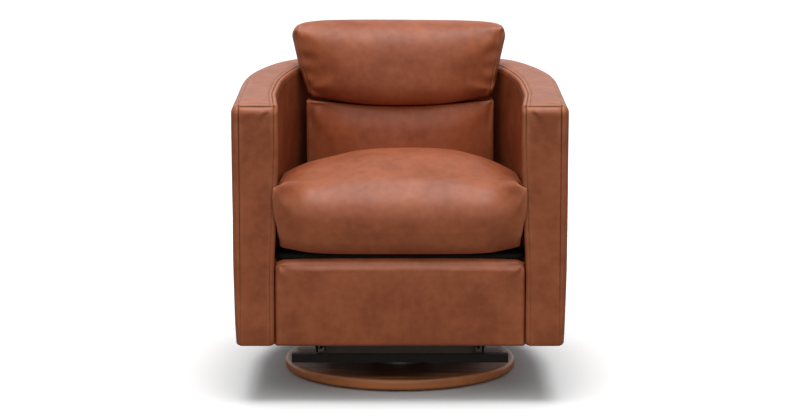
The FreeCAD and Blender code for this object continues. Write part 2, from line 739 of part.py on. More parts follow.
# Wooden seat frame
def build_seat_frame():
    rail_span = f"({FRONT_RAIL_BACK} + {BACK_RAIL_FRONT})"
    sheet_holes = []
    for side, sign in SIDES:
        side_face = reach(sign, SEAT_RAIL_INNER, "seat_rail_thickness")
        low = (side_face, f"-{FRONT_RAIL_BACK}", SEAT_RAIL_LOW)
        rail = block(f"rail_{side}", low, ("seat_rail_thickness", rail_span, "seat_rail_height"))
        holes = []
        for index, centre in enumerate(platform_bolt_places(sign)):
            loose = "bolt_diameter / 2 + fit_clearance"
            hole = rod(f"rail_hole_{side}_{index}", (*centre, SEAT_RAIL_LOW), loose, "platform_bolt_length")
            holes.append(hole)
            gap = rod(f"sheet_hole_{side}_{index}", (*centre, PLATFORM_TOP), loose, "dust_cover_thickness")
            sheet_holes.append(gap)
        piece(cut(f"drilled_rail_{side}", rail, holes), f"seat_rail_{side}")

    span = f"2 * {SEAT_RAIL_OUTER}"
    cloth = block("cloth", (f"-{SEAT_RAIL_OUTER}", f"-{FRONT_RAIL_BACK}", PLATFORM_TOP),
                  (span, f"{rail_span} + dust_cover_lap", "dust_cover_thickness"))
    piece(cut("drilled_cloth", cloth, sheet_holes), "dust_cover")

    low = f"{SEAT_RAIL_LOW} - front_rail_drop"
    corner = (f"-{PAD_OUTER}", f"-{FRONT_RAIL_BACK} - front_rail_thickness", low)
    spans = (f"2 * {PAD_OUTER}", "front_rail_thickness", "seat_rail_height + front_rail_drop")
    front = block("front_board", corner, spans)
    piece(front, "seat_rail_front")
    back = block("back_board", (f"-{BACK_RAIL_HALF}", BACK_RAIL_FRONT, SEAT_RAIL_LOW),
                 (f"2 * {BACK_RAIL_HALF}", "back_rail_thickness", "seat_rail_height"))
    piece(back, "seat_rail_back")

    blocks = []
    leg = size("corner_block_leg")
    low = size(f"{SEAT_RAIL_TOP} - corner_block_height")
    for side, sign in SIDES:
        for along, step in ((-size(FRONT_RAIL_BACK), 1), (size(BACK_RAIL_FRONT), -1)):
            x = sign * size(SEAT_RAIL_INNER)
            corner = Vector(x, along, low)
            ends = (corner - Vector(sign * leg, 0, 0), corner + Vector(0, step * leg, 0))
            face = Part.Face(Part.makePolygon([corner, *ends, corner]))
            blocks.append(face.extrude(Vector(0, 0, size("corner_block_height"))))
    piece(made("blocks", Part.makeCompound(blocks)), "corner_blocks")


def spring_path(x, start, stop, level):
    """Flat zigzag of straight runs and tight bends."""
    swing = size("spring_swing")
    runs = 2 * round((stop - start) / size("spring_pitch") / 2) + 1
    pitch = (stop - start) / (runs - 1)
    edges = []
    for index in range(runs):
        y = start + pitch * index
        sign = 1 if index % 2 == 0 else -1
        near = Vector(x - sign * swing, y, level)
        far = Vector(x + sign * swing, y, level)
        edges.append(Part.LineSegment(near, far).toShape())
        if index < runs - 1:
            bend = Vector(x + sign * (swing + pitch / 2), y + pitch / 2, level)
            edges.append(Part.Arc(far, bend, Vector(far.x, y + pitch, level)).toShape())
    return Part.Wire(edges)


# Seat springs, their clips and the deck over them
def build_springs():
    wire = size("spring_wire_diameter / 2")
    level = size(f"{SEAT_RAIL_TOP} + clip_height / 2")
    front_line = f"-({FRONT_RAIL_BACK} + front_rail_thickness / 2)"
    back_line = f"({BACK_RAIL_FRONT} + back_rail_thickness / 2)"
    start = size(front_line)
    stop = size(back_line)
    springs = []
    clips = []
    for index in range(-2, 3):
        x = index * size("spring_spacing")
        path = spring_path(x, start, stop, level)
        circle = Part.Circle(Vector(x - size("spring_swing"), start, level), Vector(1, 0, 0), wire)
        springs.append(path.makePipeShell([Part.Wire(circle.toShape())], True, True))
        for end, along in (("front", front_line), ("back", back_line)):
            low = (f"{index} * spring_spacing - clip_width / 2", f"{along} - clip_depth / 2", SEAT_RAIL_TOP)
            body = block(f"clip_{end}_{index + 2}", low, ("clip_width", "clip_depth", "clip_height"))
            centre = (low[0], along, f"{SEAT_RAIL_TOP} + clip_height / 2")
            loose = "spring_wire_diameter / 2 + fit_clearance"
            hole = rod(f"clip_hole_{end}_{index + 2}", centre, loose, "clip_width", "x")
            clips.append(cut(f"drilled_clip_{end}_{index + 2}", body, [hole]))
    piece(made("springs", Part.makeCompound(springs)), "seat_springs")
    piece(group("clip_set", clips), "spring_clips")


def line(first, last):
    return Part.LineSegment(Vector(*first), Vector(*last)).toShape()


def arc(first, middle, last):
    return Part.Arc(Vector(*first), Vector(*middle), Vector(*last)).toShape()


def polygon(spots):
    """Flat face with straight edges through a ring of places."""
    return Part.Face(Part.makePolygon([*spots, spots[0]]))


def tub_points():
    """Centres and angles of the arcs that shape the back of the tub."""
    half = size("tub_width / 2")
    shoulder = size("shoulder_radius")
    corner = size("corner_radius")
    first = math.radians(size("shoulder_angle"))
    second = first + math.radians(size("corner_angle"))
    edge = half - shoulder * (1 - math.cos(first)) - corner * (math.cos(first) - math.cos(second))
    sweep = edge / math.cos(second)
    rise = shoulder * math.sin(first) + corner * (math.sin(second) - math.sin(first))
    turn = size("tub_back_distance") - rise - sweep * (1 - math.sin(second))
    middle = (half - shoulder + (shoulder - corner) * math.cos(first),
              turn + (shoulder - corner) * math.sin(first))
    arcs = (
        ((half - shoulder, turn), shoulder, 0, first),
        (middle, corner, first, second),
        ((0, size("tub_back_distance") - sweep), sweep, second, math.pi / 2),
    )
    return half, turn, arcs


def on_circle(centre, radius, angle, side=1):
    return Vector(side * (centre[0] + radius * math.cos(angle)), centre[1] + radius * math.sin(angle), 0)


def tub_path(offset, front):
    """Edges of the tub outline, moved inward, from the right front round to the left front."""
    half, turn, arcs = tub_points()
    right = []
    if front < turn:
        right.append(line((half - offset, front, 0), (half - offset, turn, 0)))
    left = []
    for centre, radius, start, stop in arcs:
        angles = (start, (start + stop) / 2, stop)
        for side, edges in ((1, right), (-1, left)):
            spots = [on_circle(centre, radius - offset, angle, side) for angle in angles]
            if side < 0:
                spots.reverse()
            edges.append(Part.Arc(*spots).toShape())
    left.reverse()
    if front < turn:
        left.append(line((offset - half, turn, 0), (offset - half, front, 0)))
    return right + left


def tub_region(outer, inner, front):
    """Face between two outlines of the tub."""
    half = size("tub_width / 2")
    first = tub_path(outer, front)
    second = tub_path(inner, front)
    level = min(vertex.Y for vertex in first[0].Vertexes)
    ends = []
    for side in (1, -1):
        ends.append(line((side * (half - outer), level, 0), (side * (half - inner), level, 0)))
    return Part.Face(Part.Wire(Part.__sortEdges__([*first, *second, *ends])))


def rim_level(y):
    """Height of the sloping rim above a place along the depth."""
    front = -size("arm_front_distance")
    slope = size("rim_rise") / (size("tub_back_distance") - front)
    return size("rim_front_height") + slope * (y - front)


def trimmed(face, low, high, start, stop):
    """Extrude a flat face and keep what lies between two heights that may slope."""
    wide = size("tub_width")
    profile = polygon([
        Vector(-wide, start, low(start)),
        Vector(-wide, stop, low(stop)),
        Vector(-wide, stop, high(stop)),
        Vector(-wide, start, high(start)),
    ])
    prism = profile.extrude(Vector(2 * wide, 0, 0))
    return face.extrude(Vector(0, 0, 2 * high(stop))).common(prism).Solids[0]


def flat(text):
    level = size(text)
    return lambda y: level


def below_rim(text):
    drop = size(text)
    return lambda y: rim_level(y) - drop


# Wooden frame inside the arms and back
def build_tub_frame():
    half, turn, _ = tub_points()
    back = size("tub_back_distance")
    under = below_rim("rim_pad_thickness + top_rail_height")
    over = below_rim("rim_pad_thickness")
    inset = size("cover_thickness + fit_clearance")
    pad = size("wall_thickness - inside_pad_thickness - fit_clearance")
    post_front = -size(POST_FRONT)
    post_back = post_front + size("front_post_depth")

    rails = tub_region(inset, inset + size("base_rail_width"), turn)
    base = trimmed(rails, flat(BASE_RAIL_LOW), flat(BASE_RAIL_TOP), turn, back)
    piece(made("base_curve", base), "base_rail_back")
    top = trimmed(tub_region(inset, pad, turn), under, over, turn, back)
    piece(made("top_curve", top), "top_rail_back")

    post_width = size("wall_post_width")
    post_depth = size("back_post_depth")
    rail_width = size("base_rail_width")
    inner = size(PAD_OUTER)
    arm_width = half - size("cover_thickness") - inner
    rear_line = turn - post_width
    back_line = size(BACK_RAIL_BACK)
    strip = Part.makePlane(arm_width, turn - post_front, Vector(inner, post_front, 0))
    foot = Part.makePlane(arm_width, size("front_post_depth"), Vector(inner, post_front, 0))
    rear = Part.makePlane(rail_width, post_width, Vector(size(BASE_RAIL_INNER), rear_line, 0))
    hind = Part.makePlane(post_width, post_depth, Vector(size(BACK_POST_INNER), back_line, 0))
    posts = []
    for side, sign in SIDES:
        low = (reach(sign, BASE_RAIL_INNER, "base_rail_width"), post_back, BASE_RAIL_LOW)
        rail = block(f"base_{side}", low, ("base_rail_width", turn - post_back, "base_rail_height"))
        piece(rail, f"base_rail_{side}")
        beam = trimmed(on_side(strip, sign), under, over, post_front, turn)
        piece(made(f"top_{side}", beam), f"top_rail_{side}")
        post = trimmed(on_side(foot, sign), flat(BASE_RAIL_LOW), under, post_front, post_back)
        piece(made(f"post_{side}", post), f"front_post_{side}")
        posts.append(trimmed(on_side(rear, sign), flat(BASE_RAIL_TOP), under, rear_line, turn))
        upright = trimmed(on_side(hind, sign), flat(BASE_RAIL_TOP), under, back_line, back_line + post_depth)
        posts.append(upright)
    piece(made("posts", Part.makeCompound(posts)), "wall_posts")


def inner_region(outer, front):
    """Face between an outline of the tub and its inner wall, which narrows the seat toward the front."""
    half = size("tub_width / 2")
    wall = size("wall_thickness")
    fat = size("arm_front_width")
    flare = -size("arm_front_distance") + size("arm_flare_length")
    whole = tub_region(outer, wall, front)
    for side in (1, -1):
        whole = whole.fuse(polygon([
            Vector(side * (half - outer), front, 0),
            Vector(side * (half - fat), front, 0),
            Vector(side * (half - wall), flare, 0),
            Vector(side * (half - outer), flare, 0),
        ]))
    return whole.removeSplitter().Faces[0]


def rounded(shape, radius, wanted):
    """Round the edges of a solid that a test picks out."""
    edges = [edge for edge in shape.Edges if wanted(edge)]
    return shape.makeFillet(radius, edges)


# Padded covering of the tub
def build_upholstery():
    half = size("tub_width / 2")
    bottom = size("tub_bottom")
    front = -size("arm_front_distance")
    back = size("tub_back_distance")
    behind = -size(POST_FRONT)
    under = below_rim("rim_pad_thickness")
    skin = tub_region(0, size("cover_thickness"), behind)
    cover = trimmed(skin, flat("tub_bottom"), under, behind, back)
    piece(made("outer_skin", cover), "outside_cover")

    pad = size("wall_thickness - inside_pad_thickness")
    inside = trimmed(inner_region(pad, behind), flat(CLIP_TOP), under, behind, back)
    piece(made("inner_skin", inside), "inside_pad")

    rim = trimmed(inner_region(0, front), under, rim_level, front, back)

    def on_top(edge):
        span = edge.LastParameter - edge.FirstParameter
        spots = [edge.valueAt(edge.FirstParameter + share * span) for share in (0, 0.5, 1)]
        return all(abs(spot.z - rim_level(spot.y)) < EDGE_TOLERANCE for spot in spots)

    def on_foot(edge):
        middle = edge.CenterOfMass
        return middle.z < bottom + EDGE_TOLERANCE and abs(middle.x) > half - EDGE_TOLERANCE

    def on_front(edge):
        return edge.CenterOfMass.y < front + EDGE_TOLERANCE

    def upright_on_front(edge):
        return abs(edge.tangentAt(edge.FirstParameter).z) > 0.9 and on_front(edge)

    piece(made("rim", rounded(rim, size("rim_edge_radius"), on_top)), "rim_pad")

    corner = Vector(size(SEAT_HALF), front, 0)
    foot = Part.makePlane(size("arm_front_width"), size("arm_front_depth"), corner)
    for side, sign in SIDES:
        panel = trimmed(on_side(foot, sign), flat("tub_bottom"), under, front, behind)
        panel = rounded(panel, size("arm_foot_radius"), on_foot)
        panel = rounded(panel, size("arm_edge_radius"), upright_on_front)
        piece(made(f"panel_{side}", panel), f"arm_front_{side}")

    wide = size(f"{SEAT_HALF} - front_pad_gap")
    deep = size("front_pad_depth - face_gap")
    low = bottom + size("front_pad_lift")
    tall = size(FRONT_PAD_TOP) - low
    apron = Part.makeBox(2 * wide, deep, tall, Vector(-wide, front, low))
    piece(made("apron", rounded(apron, size("front_pad_radius"), on_front)), "front_rail_pad")

    margin = size("wall_thickness + deck_margin")
    edge = -size("arm_front_distance - front_pad_depth")
    path = tub_path(margin, edge)
    close = line((margin - half, edge, 0), (half - margin, edge, 0))
    deck = Part.Face(Part.Wire(Part.__sortEdges__([*path, close])))
    piece(made("deck", trimmed(deck, flat(DECK_LOW), flat(DECK_TOP), edge, back)), "seat_deck")


def quarter_drop(distance, depth, height):
    """How far a quarter ellipse has fallen at a distance in from its face."""
    part = 1 - min(max(distance / depth, 0), 1)
    return height * (1 - math.sqrt(1 - part * part))


def seat_section(y, low, tops, narrow, wide, bulge):
    """Upright outline across the seat cushion: flat foot, bowed sides, top drawn through its heights."""
    high = tops[0]
    middle = (low + high) / 2
    right = [Vector(share * wide, y, top) for share, top in zip(SEAT_SHARES, tops)]
    left = [Vector(-spot.x, y, spot.z) for spot in right[-2::-1]]
    crown = Part.BSplineCurve()
    crown.interpolate([*right, *left])
    return Part.Wire([
        line((-narrow, y, low), (narrow, y, low)),
        arc((narrow, y, low), (wide + bulge, y, middle), (wide, y, high)),
        crown.toShape(),
        arc((-wide, y, high), (-wide - bulge, y, middle), (-narrow, y, low)),
    ])


# Loose seat cushion
def build_seat_cushion():
    low = size(CUSHION_LOW)
    thick = size("seat_edge_height")
    opens = -size("arm_front_distance")
    front = opens - size("seat_overhang")
    back = size(SEAT_BACK)
    nose = size("seat_front_rounding")
    fall = size("seat_front_fall")
    ear = size("seat_ear_rounding")
    heel = size("seat_back_rounding")
    draw = size("seat_end_draw")
    narrow = size(f"{SEAT_HALF} - seat_side_gap")
    wide = size(f"{WALL_INNER} - seat_side_gap")
    flare = size("arm_flare_length")
    trim = size("cushion_foot_trim")

    def top_at(share, y):
        ends = share ** 7
        drawn = draw * share ** 5
        lost = quarter_drop(y - front - drawn, nose + (ear - nose) * ends, fall + (ear - fall) * ends)
        lost += quarter_drop(back - drawn - y, heel + (ear - heel) * ends, heel + (ear - heel) * ends)
        along = (y - front) / (back - front)
        swell = math.sin(math.pi * along)
        rise = swell ** 1.7 if along < 0.5 else SEAT_REAR_CROWN + (1 - SEAT_REAR_CROWN) * swell
        arch = (1 - share ** 2.7) ** 0.85
        return low + thick - lost - size("seat_back_fall") * along + size("seat_crown_rise") * arch * rise

    turns = [1 - math.cos(math.radians(turn)) for turn in ROUNDING_TURNS]
    depths = [front + nose * turn for turn in turns]
    depths += [front + nose + share * (back - heel - front - nose) for share in MIDDLE_SHARES]
    depths += [back - heel * turn for turn in reversed(turns)]
    sections = []
    for y in depths:
        spread = narrow + (wide - narrow) * min(max((y - opens) / flare, 0), 1)
        spread -= size("seat_back_draw") * max(y / back, 0)
        foot = low - trim + quarter_drop(y - front, size("seat_foot_rounding"), size("seat_foot_lift") + trim)
        foot += quarter_drop(back - y, heel, heel + trim)
        sections.append(seat_section(y, foot, [top_at(share, y) for share in SEAT_SHARES],
                                     spread - size("seat_side_tuck"), spread, size("seat_side_bow")))
    loft = Part.makeLoft(sections, True, False, False, 3)
    above = Part.makeBox(4 * wide, 2 * (back - front), 4 * thick, Vector(-2 * wide, 2 * front, low))
    piece(made("seat", loft.common(above).Solids[0]), "seat_cushion")


def back_section(across, slant, low, high, front, back, bulge, puff, sag):
    """Outline through the depth of a back cushion, on a plane that leans with its side."""
    def spot(y, z):
        return (across + slant * (z - low), y, z)

    middle = (front + back) / 2
    centre = (low + high) / 2
    return Part.Wire([
        arc(spot(front, low), spot(front - bulge, centre), spot(front, high)),
        arc(spot(front, high), spot(middle, high + puff), spot(back, high)),
        arc(spot(back, high), spot(back + REAR_SWELL * bulge, centre), spot(back, low)),
        arc(spot(back, low), spot(middle, low - sag), spot(front, low)),
    ])


def back_cushion(half, taper, low, high, front, back, bulge, puff, corner):
    """Loft of leaning outlines that draw in toward both sides, kept between two flat levels."""
    span = back - front
    left = [(-share, *rest) for share, *rest in BACK_STATIONS[:0:-1]]
    rows = []
    for share, drop, front_in, back_in, swell in [*left, *BACK_STATIONS]:
        slant = share * taper / (high - low)
        drop += swell * corner
        lift = drop if corner else -size("cushion_foot_trim")
        rows.append(back_section(share * (half - taper), slant, low + lift, high - drop,
                                 front + front_in * span, back - back_in * span,
                                 swell * bulge, swell * (puff + corner), swell * (FOOT_PUFF * puff + corner)))
    loft = Part.makeLoft(rows, True, False, False, 3)
    slab = Part.makeBox(4 * half, 4 * span, high + puff - low, Vector(-2 * half, front - 2 * span, low))
    return loft.common(slab).Solids[0]


# Loose back cushions
def build_back_cushions():
    puff = size("back_cushion_puff")
    lumbar = back_cushion(size(f"{WALL_INNER} - lumbar_side_room"), size("lumbar_taper"), size(CUSHION_LOW),
                          size(LUMBAR_TOP) - puff, size(LUMBAR_FRONT), size(LUMBAR_BACK),
                          size("lumbar_bulge"), puff, 0)
    piece(made("lumbar", lumbar), "lumbar_cushion")
    bulge = size("pillow_bulge")
    pillow = back_cushion(size(f"{WALL_INNER} - pillow_side_room"), size("pillow_taper"), size(PILLOW_LOW),
                          size(PILLOW_TOP) - puff, size(PILLOW_FRONT) + bulge, size(PILLOW_BACK), bulge, puff,
                          size("pillow_corner"))
    piece(made("pillow", pillow), "back_pillow")


build_base()
build_bearing()
build_carriage()
build_links()
build_platform()
build_seat_frame()
build_springs()
build_tub_frame()
build_upholstery()
build_seat_cushion()
build_back_cushions()
doc.recompute()

# Every object must be sound before anything is written
for item in doc.Objects:
    if "Invalid" in item.State or "Error" in item.State:
        raise RuntimeError(f"{item.Label} did not build: {item.State}")
for item in pieces:
    if item.Shape.isNull() or not item.Shape.isValid() or not item.Shape.Solids:
        raise RuntimeError(f"{item.Label} is not a sound solid")

os.makedirs("parts", exist_ok=True)
for item in pieces:
    item.Shape.exportStep(f"parts/{item.Label}.step")
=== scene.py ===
import json
import math

import bmesh
import bpy
import numpy as np
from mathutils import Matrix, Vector, noise


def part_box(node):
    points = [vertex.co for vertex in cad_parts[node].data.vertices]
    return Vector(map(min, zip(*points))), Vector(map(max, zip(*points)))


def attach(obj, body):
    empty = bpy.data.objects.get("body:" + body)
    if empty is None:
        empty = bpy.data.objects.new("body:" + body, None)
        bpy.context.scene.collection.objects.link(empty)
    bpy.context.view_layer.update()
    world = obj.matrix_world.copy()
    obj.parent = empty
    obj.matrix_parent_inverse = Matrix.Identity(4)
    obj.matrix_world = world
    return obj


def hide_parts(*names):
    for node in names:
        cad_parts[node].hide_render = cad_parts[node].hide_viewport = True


bl_info = {
    "name": "Swivel glider chair",
    "version": (1, 0, 0),
    "blender": (4, 5, 0),
    "location": "View3D > Sidebar > Chair",
    "description": "Dresses the chair's frame in leather, cushions and finishes",
    "category": "Object",
}

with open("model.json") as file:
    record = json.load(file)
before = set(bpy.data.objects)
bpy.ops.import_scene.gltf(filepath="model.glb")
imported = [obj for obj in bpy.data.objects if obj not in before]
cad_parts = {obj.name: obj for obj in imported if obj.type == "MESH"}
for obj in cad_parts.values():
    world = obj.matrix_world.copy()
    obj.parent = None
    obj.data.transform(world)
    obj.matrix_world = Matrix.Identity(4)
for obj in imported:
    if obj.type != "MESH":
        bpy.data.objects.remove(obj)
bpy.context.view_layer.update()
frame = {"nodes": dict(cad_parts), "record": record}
cover_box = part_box("outside_cover")
rim_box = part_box("rim_pad")
apron_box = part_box("front_rail_pad")
deck_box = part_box("seat_deck")
dust_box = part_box("dust_cover")
seat_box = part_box("seat_cushion")
lumbar_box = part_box("lumbar_cushion")
pillow_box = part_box("back_pillow")

# A distance at which a seam no longer shows, in metres like all lengths here
NO_SEAM = 0.05

# How far a panel's edge laps under its neighbour, and how far it goes down behind the seam
HEM_LAP = 0.0006
HEM_DROP = 0.009

# How far along its line a panel still lies on the arm's front
FRONT_REACH = 0.03

# Height over which leather is drawn in toward the tub's lower edge
FOOT_HEIGHT = 0.050

# Depth of the seam across the arm top, and the distance of the thread from the rim's inner seam
CROSS_GROOVE = 0.0016
BAND_STITCH = 0.0075

# Distances of the points on both sides of an upright seam
SEAM_STEPS = (0.0, 0.0008, 0.0017, 0.0030, 0.0050, 0.0085, 0.0140)

# How plainly the seam along the rim's outer edge shows beside the others
EDGE_SEAM = 0.25

# Rows of the inside pad below the deck, which only the arm fronts show
INSIDE_FOOT = 11

# Points along a cushion's section, and the rings of its end panels
LOOP_COUNTS = {"foot": 16, "front": 12, "top": 22, "back": 10, "corner": 7}
CAP_STEPS = (0.985, 0.955, 0.90, 0.80, 0.66, 0.50, 0.34, 0.18, 0.06)

# Cloth that swells the cushions, and how long it is let swell
CLOTH = {
    "quality": 6,
    "mass": 0.25,
    "tension_stiffness": 45,
    "compression_stiffness": 25,
    "shear_stiffness": 12,
    "bending_stiffness": 2.5,
    "use_pressure": True,
    "vertex_group_mass": "held",
    "pin_stiffness": 1.0,
    "vertex_group_shrink": "seam",
    "shrink_min": 0.0,
}
CLOTH_FRAMES = 20

# Darker colour in the seams, moulded parts, and the floor as it bounces light and as it is seen
SEAM_DARK = (0.030, 0.010, 0.006)
BLACK_PLASTIC = (0.02, 0.02, 0.02)
BLACK_RUBBER = (0.015, 0.015, 0.015)
FLOOR_BOUNCE = (0.21, 0.20, 0.19)
FLOOR_SEEN = (0.97, 0.97, 0.97)


def length(title, text, default):
    """A size in metres that a user may change."""
    return bpy.props.FloatProperty(name=title, description=text, default=default, unit="LENGTH", precision=4)


def colour(title, text, default):
    """A surface colour that a user may change."""
    return bpy.props.FloatVectorProperty(name=title, description=text, default=default, size=3,
                                         subtype="COLOR", min=0.0, max=1.0)


def share(title, text, default):
    """A plain number from 0 to 1."""
    return bpy.props.FloatProperty(name=title, description=text, default=default, min=0.0, max=1.0,
                                   subtype="FACTOR")


class TubSizes(bpy.types.PropertyGroup):
    """Sizes of the upholstered tub."""

    half_width: length("Half width", "From the middle to the outside of an arm", cover_box[1].x)
    front: length("Arm front", "Place of the arm fronts along the depth", rim_box[0].y)
    back: length("Back", "Place of the outside back along the depth", cover_box[1].y)
    bottom: length("Bottom", "Height of the tub's lower edge", cover_box[0].z - 0.004)
    rim_front: length("Rim at the front", "Height of the arm tops at the front", 0.689)
    rim_rise: length("Rim rise", "How much higher the rim is at the back", 0.038)
    shoulder_radius: length("Shoulder radius", "Radius of the slow bend behind the arms", 0.840)
    corner_radius: length("Corner radius", "Radius of the back corners", 0.190)
    wall: length("Wall", "Thickness of the padded wall", 0.084)
    arm_width: length("Arm width", "Width of an arm at its front", 0.097)
    flare: length("Flare", "Length over which the arm widens toward its front", 0.170)
    deck_inset: length("Deck inset", "From the outside of the tub to the edge of the deck",
                       cover_box[1].x - deck_box[1].x)
    outer_seam: length("Outer seam", "From the outer edge to the seam", 0.014)
    inner_seam: length("Inner seam", "From the inner edge to the seam", 0.010)
    outer_round: length("Outer rounding", "Radius of the rim's outer edge", 0.018)
    front_round: length("Front rounding", "Radius of the arm front's top edge", 0.024)
    cross_seam: length("Crosswise seam", "From the arm front to the seam across the arm top", 0.012)
    seam_depth: length("Seam depth", "Depth of a seam's groove", 0.0018)


class CushionSizes(bpy.types.PropertyGroup):
    """Forms of the loose cushions."""

    seat_edge: length("Seat edge", "Height of the seat cushion's side seams", 0.504)
    seat_crown: length("Seat crown", "Rise of the seat cushion's middle above its seams", 0.066)
    seat_fall: length("Seat fall", "How much lower the seat cushion's seams are at the back", 0.026)
    gather: share("Gather", "How far thread draws the leather in along a seam", 0.06)
    pressure: bpy.props.FloatProperty(name="Pressure", description="Filling pressure of the cushions",
                                      default=3.0)
    cap: length("Swell", "Furthest that the filling may move a point", 0.022)


class Finishes(bpy.types.PropertyGroup):
    """Colours of the finishes."""

    leather: colour("Leather", "Tan of the leather", (0.385, 0.108, 0.042))
    leather_dark: colour("Leather, dark", "Darker patches of the leather", (0.265, 0.067, 0.025))
    # Colour both of worn leather and of the painted highlight on raised lips and the arm tops.
    leather_wear_and_sheen: colour("Leather, rubbed", "Worn edges of the leather", (0.450, 0.165, 0.075))
    thread: colour("Thread", "Sewing thread", (0.330, 0.130, 0.062))
    base_wood: colour("Base wood", "Lacquered wood of the base", (0.780, 0.275, 0.105))
    frame_wood: colour("Frame wood", "Bare wood of the hidden frame", (0.520, 0.330, 0.170))
    black_steel: colour("Black steel", "Painted mechanism", (0.034, 0.024, 0.019))
    grey_steel: colour("Grey steel", "Paler plates of the mechanism", (0.160, 0.118, 0.094))
    zinc: colour("Zinc", "Plated fasteners and bearing", (0.56, 0.56, 0.54))
    nylon: colour("Nylon", "Bushes and ball cage", (0.66, 0.63, 0.55))
    black_cloth: colour("Black cloth", "Deck and dust cover", (0.009, 0.008, 0.0075))


def tub():
    return bpy.context.scene.chair_tub


def cushions():
    return bpy.context.scene.chair_cushions


def finishes():
    return bpy.context.scene.chair_finishes


# Shader helpers
def fill(tree, item, inputs):
    """Set a node's inputs to numbers or link them to sockets."""
    for name, value in inputs.items():
        if isinstance(value, bpy.types.NodeSocket):
            tree.links.new(value, item.inputs[name])
        else:
            item.inputs[name].default_value = value
    return item


def wire(tree, kind, inputs=None, **settings):
    """Add a node with its settings and inputs."""
    item = tree.nodes.new(kind)
    for name, value in settings.items():
        setattr(item, name, value)
    return fill(tree, item, inputs or {})


def math_node(tree, operation, first, second):
    return wire(tree, "ShaderNodeMath", {0: first, 1: second}, operation=operation).outputs[0]


def times(tree, first, second):
    return math_node(tree, "MULTIPLY", first, second)


def weighed(tree, first, second):
    """Sum of two values, most of it from the first."""
    return math_node(tree, "ADD", times(tree, first, 0.65), times(tree, second, 0.35))


def vector_node(tree, operation, first, second):
    return wire(tree, "ShaderNodeVectorMath", {0: first, 1: second}, operation=operation).outputs[0]


def noisy(tree, place, scale, detail, **more):
    """Value of a noise texture."""
    inputs = {"Vector": place, "Scale": scale, "Detail": detail, **more}
    return wire(tree, "ShaderNodeTexNoise", inputs).outputs["Fac"]


def ranged(tree, value, low, high, to_low=0.0, to_high=1.0):
    """A value's range spread or pressed to another."""
    inputs = {"Value": value, "From Min": low, "From Max": high, "To Min": to_low, "To Max": to_high}
    return wire(tree, "ShaderNodeMapRange", inputs).outputs["Result"]


def mixed(tree, factor, first, second):
    """Mix two colours."""
    item = wire(tree, "ShaderNodeMix", {"Factor": factor}, data_type="RGBA")
    colour_sockets = [socket for socket in item.inputs if socket.type == "RGBA"]
    for socket, value in zip(colour_sockets, (first, second)):
        if isinstance(value, bpy.types.NodeSocket):
            tree.links.new(value, socket)
        else:
            socket.default_value = (*value, 1.0)
    return next(socket for socket in item.outputs if socket.type == "RGBA")


def scaled(shade, part):
    return tuple(part * value for value in shade)


def bumped(tree, height, strength, distance):
    """Normals of a bumpy surface."""
    inputs = {"Height": height, "Strength": strength, "Distance": distance}
    return wire(tree, "ShaderNodeBump", inputs).outputs["Normal"]


# Node groups
def leather_grain(tree, place, scale):
    """Pebbled grain, pores and slow mottling of leather."""
    drift = wire(tree, "ShaderNodeTexNoise", {"Vector": place, "Scale": 90.0, "Detail": 2.0})
    bent = vector_node(tree, "MULTIPLY", drift.outputs["Color"], (0.004, 0.004, 0.004))
    moved = vector_node(tree, "ADD", place, bent)
    cells = wire(tree, "ShaderNodeTexVoronoi", {"Vector": moved, "Scale": scale}, feature="DISTANCE_TO_EDGE")
    pebbles = ranged(tree, cells.outputs["Distance"], 0.0, 0.22)
    pores = noisy(tree, place, 1500.0, 3.0)
    broad = noisy(tree, place, 11.0, 4.0, Roughness=0.55)
    close = noisy(tree, place, 55.0, 4.0)
    return {
        "Height": weighed(tree, pebbles, pores),
        "Mottle": weighed(tree, broad, close),
        "Pull": noisy(tree, place, 24.0, 3.0, Distortion=0.6),
    }


def wood_grain(tree, place, scale):
    """Long streaks and fine pores of wood."""
    long = vector_node(tree, "MULTIPLY", place, (0.07, 1.0, 1.0))
    rings = noisy(tree, long, scale, 6.0, Roughness=0.62, Distortion=0.9)
    pores = noisy(tree, long, times(tree, scale, 9.0), 3.0)
    return {"Streak": ranged(tree, rings, 0.32, 0.68), "Pore": pores}


def scuffed_paint(tree, place, scale):
    """Slight orange peel and dull scuffs of a painted or plated surface."""
    peel = noisy(tree, place, scale, 2.0)
    scuff = noisy(tree, place, 38.0, 6.0, Roughness=0.7)
    return {"Peel": peel, "Scuff": ranged(tree, scuff, 0.5, 0.75)}


def cloth_weave(tree, place, scale):
    """Crossed threads of a plain cloth."""
    inputs = {"Vector": place, "Scale": scale, "Distortion": 0.6, "Detail": 1.0}
    crossed = [wire(tree, "ShaderNodeTexWave", inputs, wave_type="BANDS", bands_direction=way).outputs["Fac"]
               for way in ("X", "Y")]
    return {"Height": times(tree, *crossed), "Shade": noisy(tree, place, 60.0, 4.0)}


def placed(tree, build, place, scale):
    """Put a node group in a material. The first time, a function of the group's name builds it."""
    group = bpy.data.node_groups.get(build.__name__)
    if group is None:
        group = bpy.data.node_groups.new(build.__name__, "ShaderNodeTree")
        for title, kind in (("Place", "NodeSocketVector"), ("Scale", "NodeSocketFloat")):
            group.interface.new_socket(name=title, in_out="INPUT", socket_type=kind)
        given = group.nodes.new("NodeGroupInput").outputs
        values = build(group, given["Place"], given["Scale"])
        for title in values:
            group.interface.new_socket(name=title, in_out="OUTPUT", socket_type="NodeSocketFloat")
        fill(group, group.nodes.new("NodeGroupOutput"), values)
    return wire(tree, "ShaderNodeGroup", {"Place": place, "Scale": scale}, node_tree=group).outputs


# Finishes
def new_material(name):
    """Material with its node tree, its object coordinates and its Principled shader."""
    made = bpy.data.materials.new(name)
    made.use_nodes = True
    tree = made.node_tree
    shader = next(item for item in tree.nodes if item.type == "BSDF_PRINCIPLED")
    place = tree.nodes.new("ShaderNodeTexCoord").outputs["Object"]
    return made, tree, place, shader


